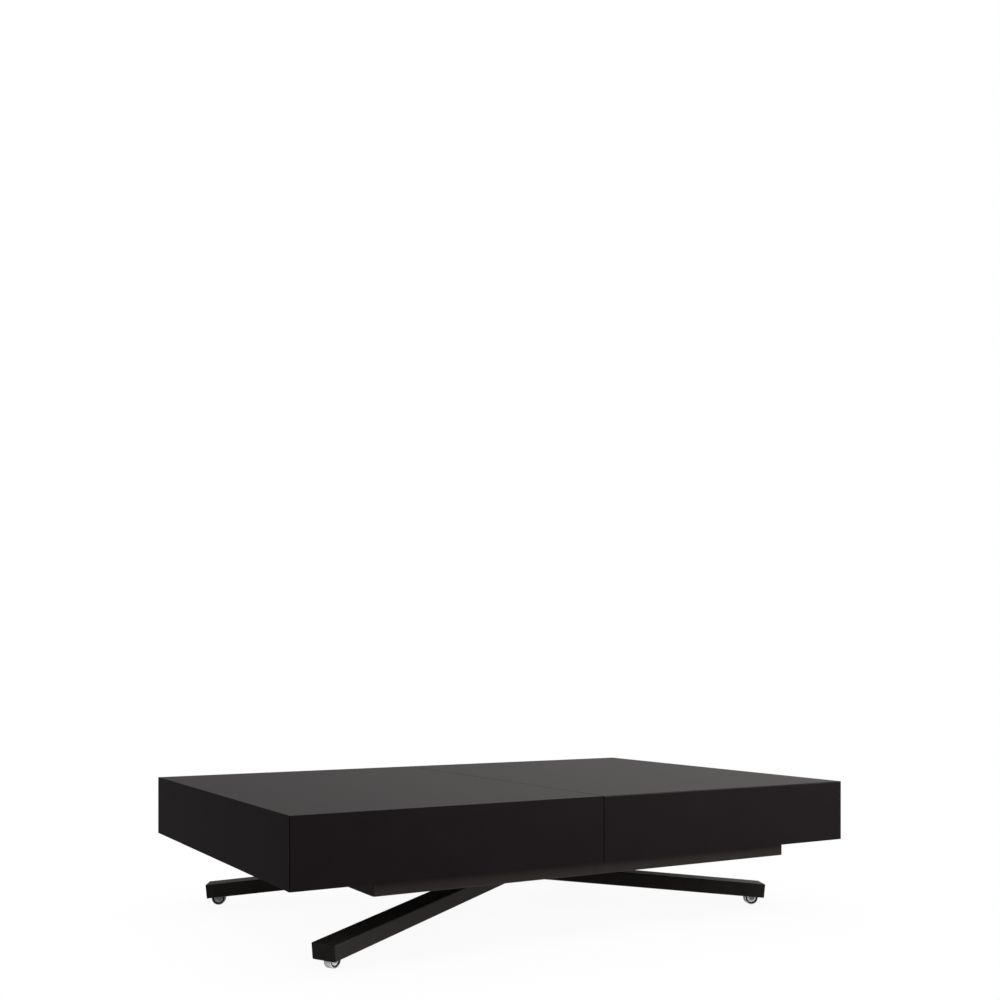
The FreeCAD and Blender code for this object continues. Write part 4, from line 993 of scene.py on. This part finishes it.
# How far out of the cylinder, and the radius there
WIPER_STEPS = ((0.0, 0.0080), (0.0016, 0.0078), (0.0034, 0.0060), (0.0040, 0.0048))
WIPER_GAP = 0.00015
spring_start = vec(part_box("gas_spring_cylinder")[0][0], SPRING_Y, pivot[2])
outwards = vec(-1, 0, 0)
collar_middle = SPRING_RADIUS - COLLAR_HALF
collar = [(0, SPRING_RADIUS)]
collar += [(COLLAR_START + COLLAR_LENGTH * math.sin(a), collar_middle - COLLAR_HALF * math.cos(a))
           for a in np.linspace(math.pi, 0, COLLAR_STEPS)]
collar += [(0, collar_middle - COLLAR_HALF)]
wiper_hole = ROD_RADIUS + WIPER_GAP
wiper = [*WIPER_STEPS, (WIPER_STEPS[-1][0], wiper_hole), (0, wiper_hole)]
for name, profile, slot_name in (("gas_spring_collar", collar, "cylinder_paint"),
                                 ("gas_spring_wiper", wiper, "cap_plastic")):
    piece(name, [turned(profile, spring_start, outwards, closed=True)], "table_frame", slot_name)
print("gas spring fittings from x =", round(spring_start[0], 4))

# %% [markdown]
# The lever's grip.
# A soft sleeve is pushed over the end of the release lever, with waves under the fingers. Its section
# is a superellipse, which is a round-cornered oblong, and its lower half swells and shrinks along X.

# %% Lever grip
GRIP_START = 0.476
GRIP_END = 0.5225
GRIP_HALF_WIDTH = 0.0125
GRIP_HALF_HEIGHT = 0.0044
GRIP_SIDES = 48
GRIP_WAVES = 3
GRIP_WAVE = 0.0009
GRIP_CORNER_POWER = 0.5
GRIP_END_POWER = 24
GRIP_END_SHARE, GRIP_END_RINGS = 0.04, 7
GRIP_REST_SHARE, GRIP_REST_RINGS = 0.06, 60
LEVER_Z = 0.110

end_shares = np.linspace(0, GRIP_END_SHARE, GRIP_END_RINGS)
rest_shares = np.linspace(GRIP_REST_SHARE, 1 - GRIP_REST_SHARE, GRIP_REST_RINGS)
share = np.concatenate([end_shares, rest_shares, 1 - end_shares[::-1]])[:, None]
run = GRIP_START + share * (GRIP_END - GRIP_START)
close = np.sqrt(np.clip(1 - (2 * share - 1) ** GRIP_END_POWER, 0, 1))
t = np.linspace(0, 2 * math.pi, GRIP_SIDES, endpoint=False)
across = np.sign(np.cos(t)) * np.abs(np.cos(t)) ** GRIP_CORNER_POWER
upright = np.sign(np.sin(t)) * np.abs(np.sin(t)) ** GRIP_CORNER_POWER
wave = GRIP_WAVE * (1 - np.cos(2 * math.pi * GRIP_WAVES * share)) * np.clip(-upright, 0, 1)
grip = np.stack([run + 0 * t, SPRING_Y + close * GRIP_HALF_WIDTH * across,
                 LEVER_Z + close * (GRIP_HALF_HEIGHT * upright - wave)], axis=-1)
piece("lever_grip", [grid(grip)], "lever", "cap_plastic")
print("lever grip length:", round(GRIP_END - GRIP_START, 4))

# %% [markdown]
# Screws and hub caps.
# The pivot pins are shoulder screws, the hub axle is closed by push-on caps, and each corner block is
# held by two screws. A screw's head is a dome, and its socket is a hexagon sunk into it.

# %% Screw helper
SCREW_STEPS = 36
DOME_STEPS = 6
SKIRT_SHARE = 0.3
CROWN_SHARE = 0.45
SOCKET_FLOOR_SHARE = 0.35
SOCKET_POINT_SHARE = 0.25


def socket_screw(centre, axis, head_radius, head_height, socket_radius):
    """A button-head screw: a domed head with a six-sided socket, whose radius at angle t is the
    flat's distance over cos of the angle from the middle of that flat."""
    rows = [(-head_height * SKIRT_SHARE, head_radius)]
    rows += [(head_height * math.sin(d), head_radius * (CROWN_SHARE + (1 - CROWN_SHARE) * math.cos(d)))
             for d in np.linspace(0, math.pi / 2, DOME_STEPS)]
    spokes = circle_spokes(axis, SCREW_STEPS)
    rings = [centre + along * unit(axis) + radius * spokes for along, radius in rows]
    t = np.linspace(0, 2 * math.pi, SCREW_STEPS, endpoint=False)
    hexagon = (socket_radius / np.cos((t % (math.pi / 3)) - math.pi / 6))[:, None] * spokes
    rings += [centre + head_height * unit(axis) + hexagon,
              centre + head_height * SOCKET_FLOOR_SHARE * unit(axis) + hexagon,
              centre + head_height * SOCKET_POINT_SHARE * unit(axis) + 0 * hexagon]
    return grid(np.array(rings))


print("a screw's circles have", SCREW_STEPS, "points")

# %% Pivot screws
# Head radius, head height and socket radius
PIVOT_SCREW = (0.0086, 0.0030, 0.0032)
PIN_HEAD_Y = 0.150

pin_heads = [(mirrored((pivot[0], PIN_HEAD_Y, pivot[2]), y=back), vec(0, back, 0)) for back in ENDS]
pivot_screws = [socket_screw(place, axis, *PIVOT_SCREW) for place, axis in pin_heads]
piece("pivot_screws", pivot_screws, "table_frame", "bright_steel")
print("pivot screws:", len(pivot_screws))

# %% Hub caps
AXLE_HEAD_Y = 0.1045
# How far out of the axle's end, and the radius there
HUB_CAP_RIM = ((-0.0004, 0.0105), (0.0006, 0.0105), (0.0009, 0.0101), (0.0010, 0.0080), (0.0022, 0.0074))
HUB_DOME = 0.0014
HUB_DOME_STEPS = 8
HUB_DOME_STARTS = 0.15

dome_foot, dome_radius = HUB_CAP_RIM[-1]
hub_cap = [*HUB_CAP_RIM]
hub_cap += [(dome_foot + HUB_DOME * math.sin(a), dome_radius * math.cos(a))
            for a in np.linspace(HUB_DOME_STARTS, math.pi / 2, HUB_DOME_STEPS)]
hub_caps = [turned(hub_cap, mirrored((0, AXLE_HEAD_Y, hub[2]), y=back), vec(0, back, 0)) for back in ENDS]
piece("hub_caps", hub_caps, "outer_legs", "bright_steel")
print("hub caps:", len(hub_caps))

# %% Corner screws
# Head radius, head height and socket radius
CORNER_SCREW = (0.0038, 0.0020, 0.0015)
CORNER_X, CORNER_Y = 0.588, 0.385
CORNER_SCREW_Z = (0.174, 0.192)

for name, x in HALVES:
    screws = [socket_screw(vec(x * CORNER_X, y * CORNER_Y, z), vec(-x, -y, 0), *CORNER_SCREW)
              for y in ENDS for z in CORNER_SCREW_Z]
    piece(name + "_corner_screws", screws, name + "_top", "bright_steel")
print("corner screws in each half:", len(screws))

# %% [markdown]
# The leaves' dowels.
# They are fluted beech with a chamfered tip, so that glue and air can pass. Turned work can't give
# flutes, so here the radius itself follows a cosine round the dowel.

# %% Leaf dowels
DOWEL_RADIUS = 0.00412
DOWEL_LENGTH = 0.0121
DOWEL_TIP = 0.0012
DOWEL_ROOT = 0.001
DOWEL_X = 0.302
DOWEL_FLUTES = 14
FLUTE_POINTS = 6
FLUTE_SHARE = 0.02
TIP_SHARE = 0.72


def fluted_dowel(start):
    """A dowel along +Y: radius * (1 + share * (1 + cos(flutes * t))) down to a chamfered tip."""
    tip_end = DOWEL_LENGTH + DOWEL_TIP
    along = np.array([-DOWEL_ROOT, 0, DOWEL_LENGTH / 2, DOWEL_LENGTH, tip_end, tip_end])
    scale = np.array([1, 1, 1, 1, TIP_SHARE, 0])
    t = np.linspace(0, 2 * math.pi, DOWEL_FLUTES * FLUTE_POINTS, endpoint=False)
    radius = DOWEL_RADIUS * (1 + FLUTE_SHARE * (1 + np.cos(DOWEL_FLUTES * t)))
    ring = np.stack([np.cos(t) * radius, 0 * t, np.sin(t) * radius], axis=1)
    return grid(start + along[:, None, None] * vec(0, 1, 0) + scale[:, None, None] * ring)


dowels = []
for name in ("lower", "middle", "upper"):
    leaf_low, leaf_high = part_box(name + "_leaf")
    middle_z = (leaf_low[2] + leaf_high[2]) / 2
    dowels += [fluted_dowel(vec(x * DOWEL_X, -leaf_low[1], middle_z)) for x in ENDS]
piece("leaf_dowel_flutes", dowels, "table_frame", "dowel_wood")
print("dowels:", len(dowels))

# %% [markdown]
# The magnetic catches.
# Two catches under the seam hold the halves together: a plastic case with two steel plates on the
# left half, and a bent strike plate on the right half. They are eased blocks, which come from a
# ball whose eight octants are pushed apart.

# %% Magnetic catches
CATCH_Y = 0.270
CATCH_HALF_WIDTH = 0.020
PANEL_THICKNESS = 0.016
CASE_X0, CASE_X1 = -0.0170, -0.0020
CASE_HEIGHT = 0.0130
CASE_EASE = 0.0012
PLATE_X0, PLATE_X1 = -0.0100, -0.0004
PLATE_DROPS = (0.0095, 0.0045)
PLATE_HALF = 0.0006
PLATE_INSET = 0.004
STRIKE_X0, STRIKE_X1 = 0.0004, 0.0018
STRIKE_HEIGHT = 0.0125
STRIKE_FOOT_X1 = 0.0150
STRIKE_FOOT = 0.0014
THIN_EASE = 0.0003
CATCH_SCREW = (0.0034, 0.0017, 0.0013)
CATCH_SCREW_X = 0.0095
CATCH_SCREW_DROP = 0.0013
catch_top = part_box("left_top_panel")[1][2] - PANEL_THICKNESS
cases, plates, strikes = [], [], []
for back in ENDS:
    y0, y1 = back * CATCH_Y - CATCH_HALF_WIDTH, back * CATCH_Y + CATCH_HALF_WIDTH
    cases.append(eased_block((CASE_X0, y0, catch_top - CASE_HEIGHT), (CASE_X1, y1, catch_top), CASE_EASE))
    for drop in PLATE_DROPS:
        plates.append(eased_block((PLATE_X0, y0 + PLATE_INSET, catch_top - drop - PLATE_HALF),
                                  (PLATE_X1, y1 - PLATE_INSET, catch_top - drop + PLATE_HALF), THIN_EASE))
    for x1, height in ((STRIKE_X1, STRIKE_HEIGHT), (STRIKE_FOOT_X1, STRIKE_FOOT)):
        strikes.append(eased_block((STRIKE_X0, y0, catch_top - height), (x1, y1, catch_top), THIN_EASE))
    screw_place = vec(CATCH_SCREW_X, back * CATCH_Y, catch_top - CATCH_SCREW_DROP)
    strikes.append(socket_screw(screw_place, vec(0, 0, -1), *CATCH_SCREW))
piece("catch_cases", cases, "left_top", "cap_plastic")
piece("catch_plates", plates, "left_top", "bright_steel")
piece("catch_strikes", strikes, "right_top", "bright_steel")
print("catches:", len(cases))
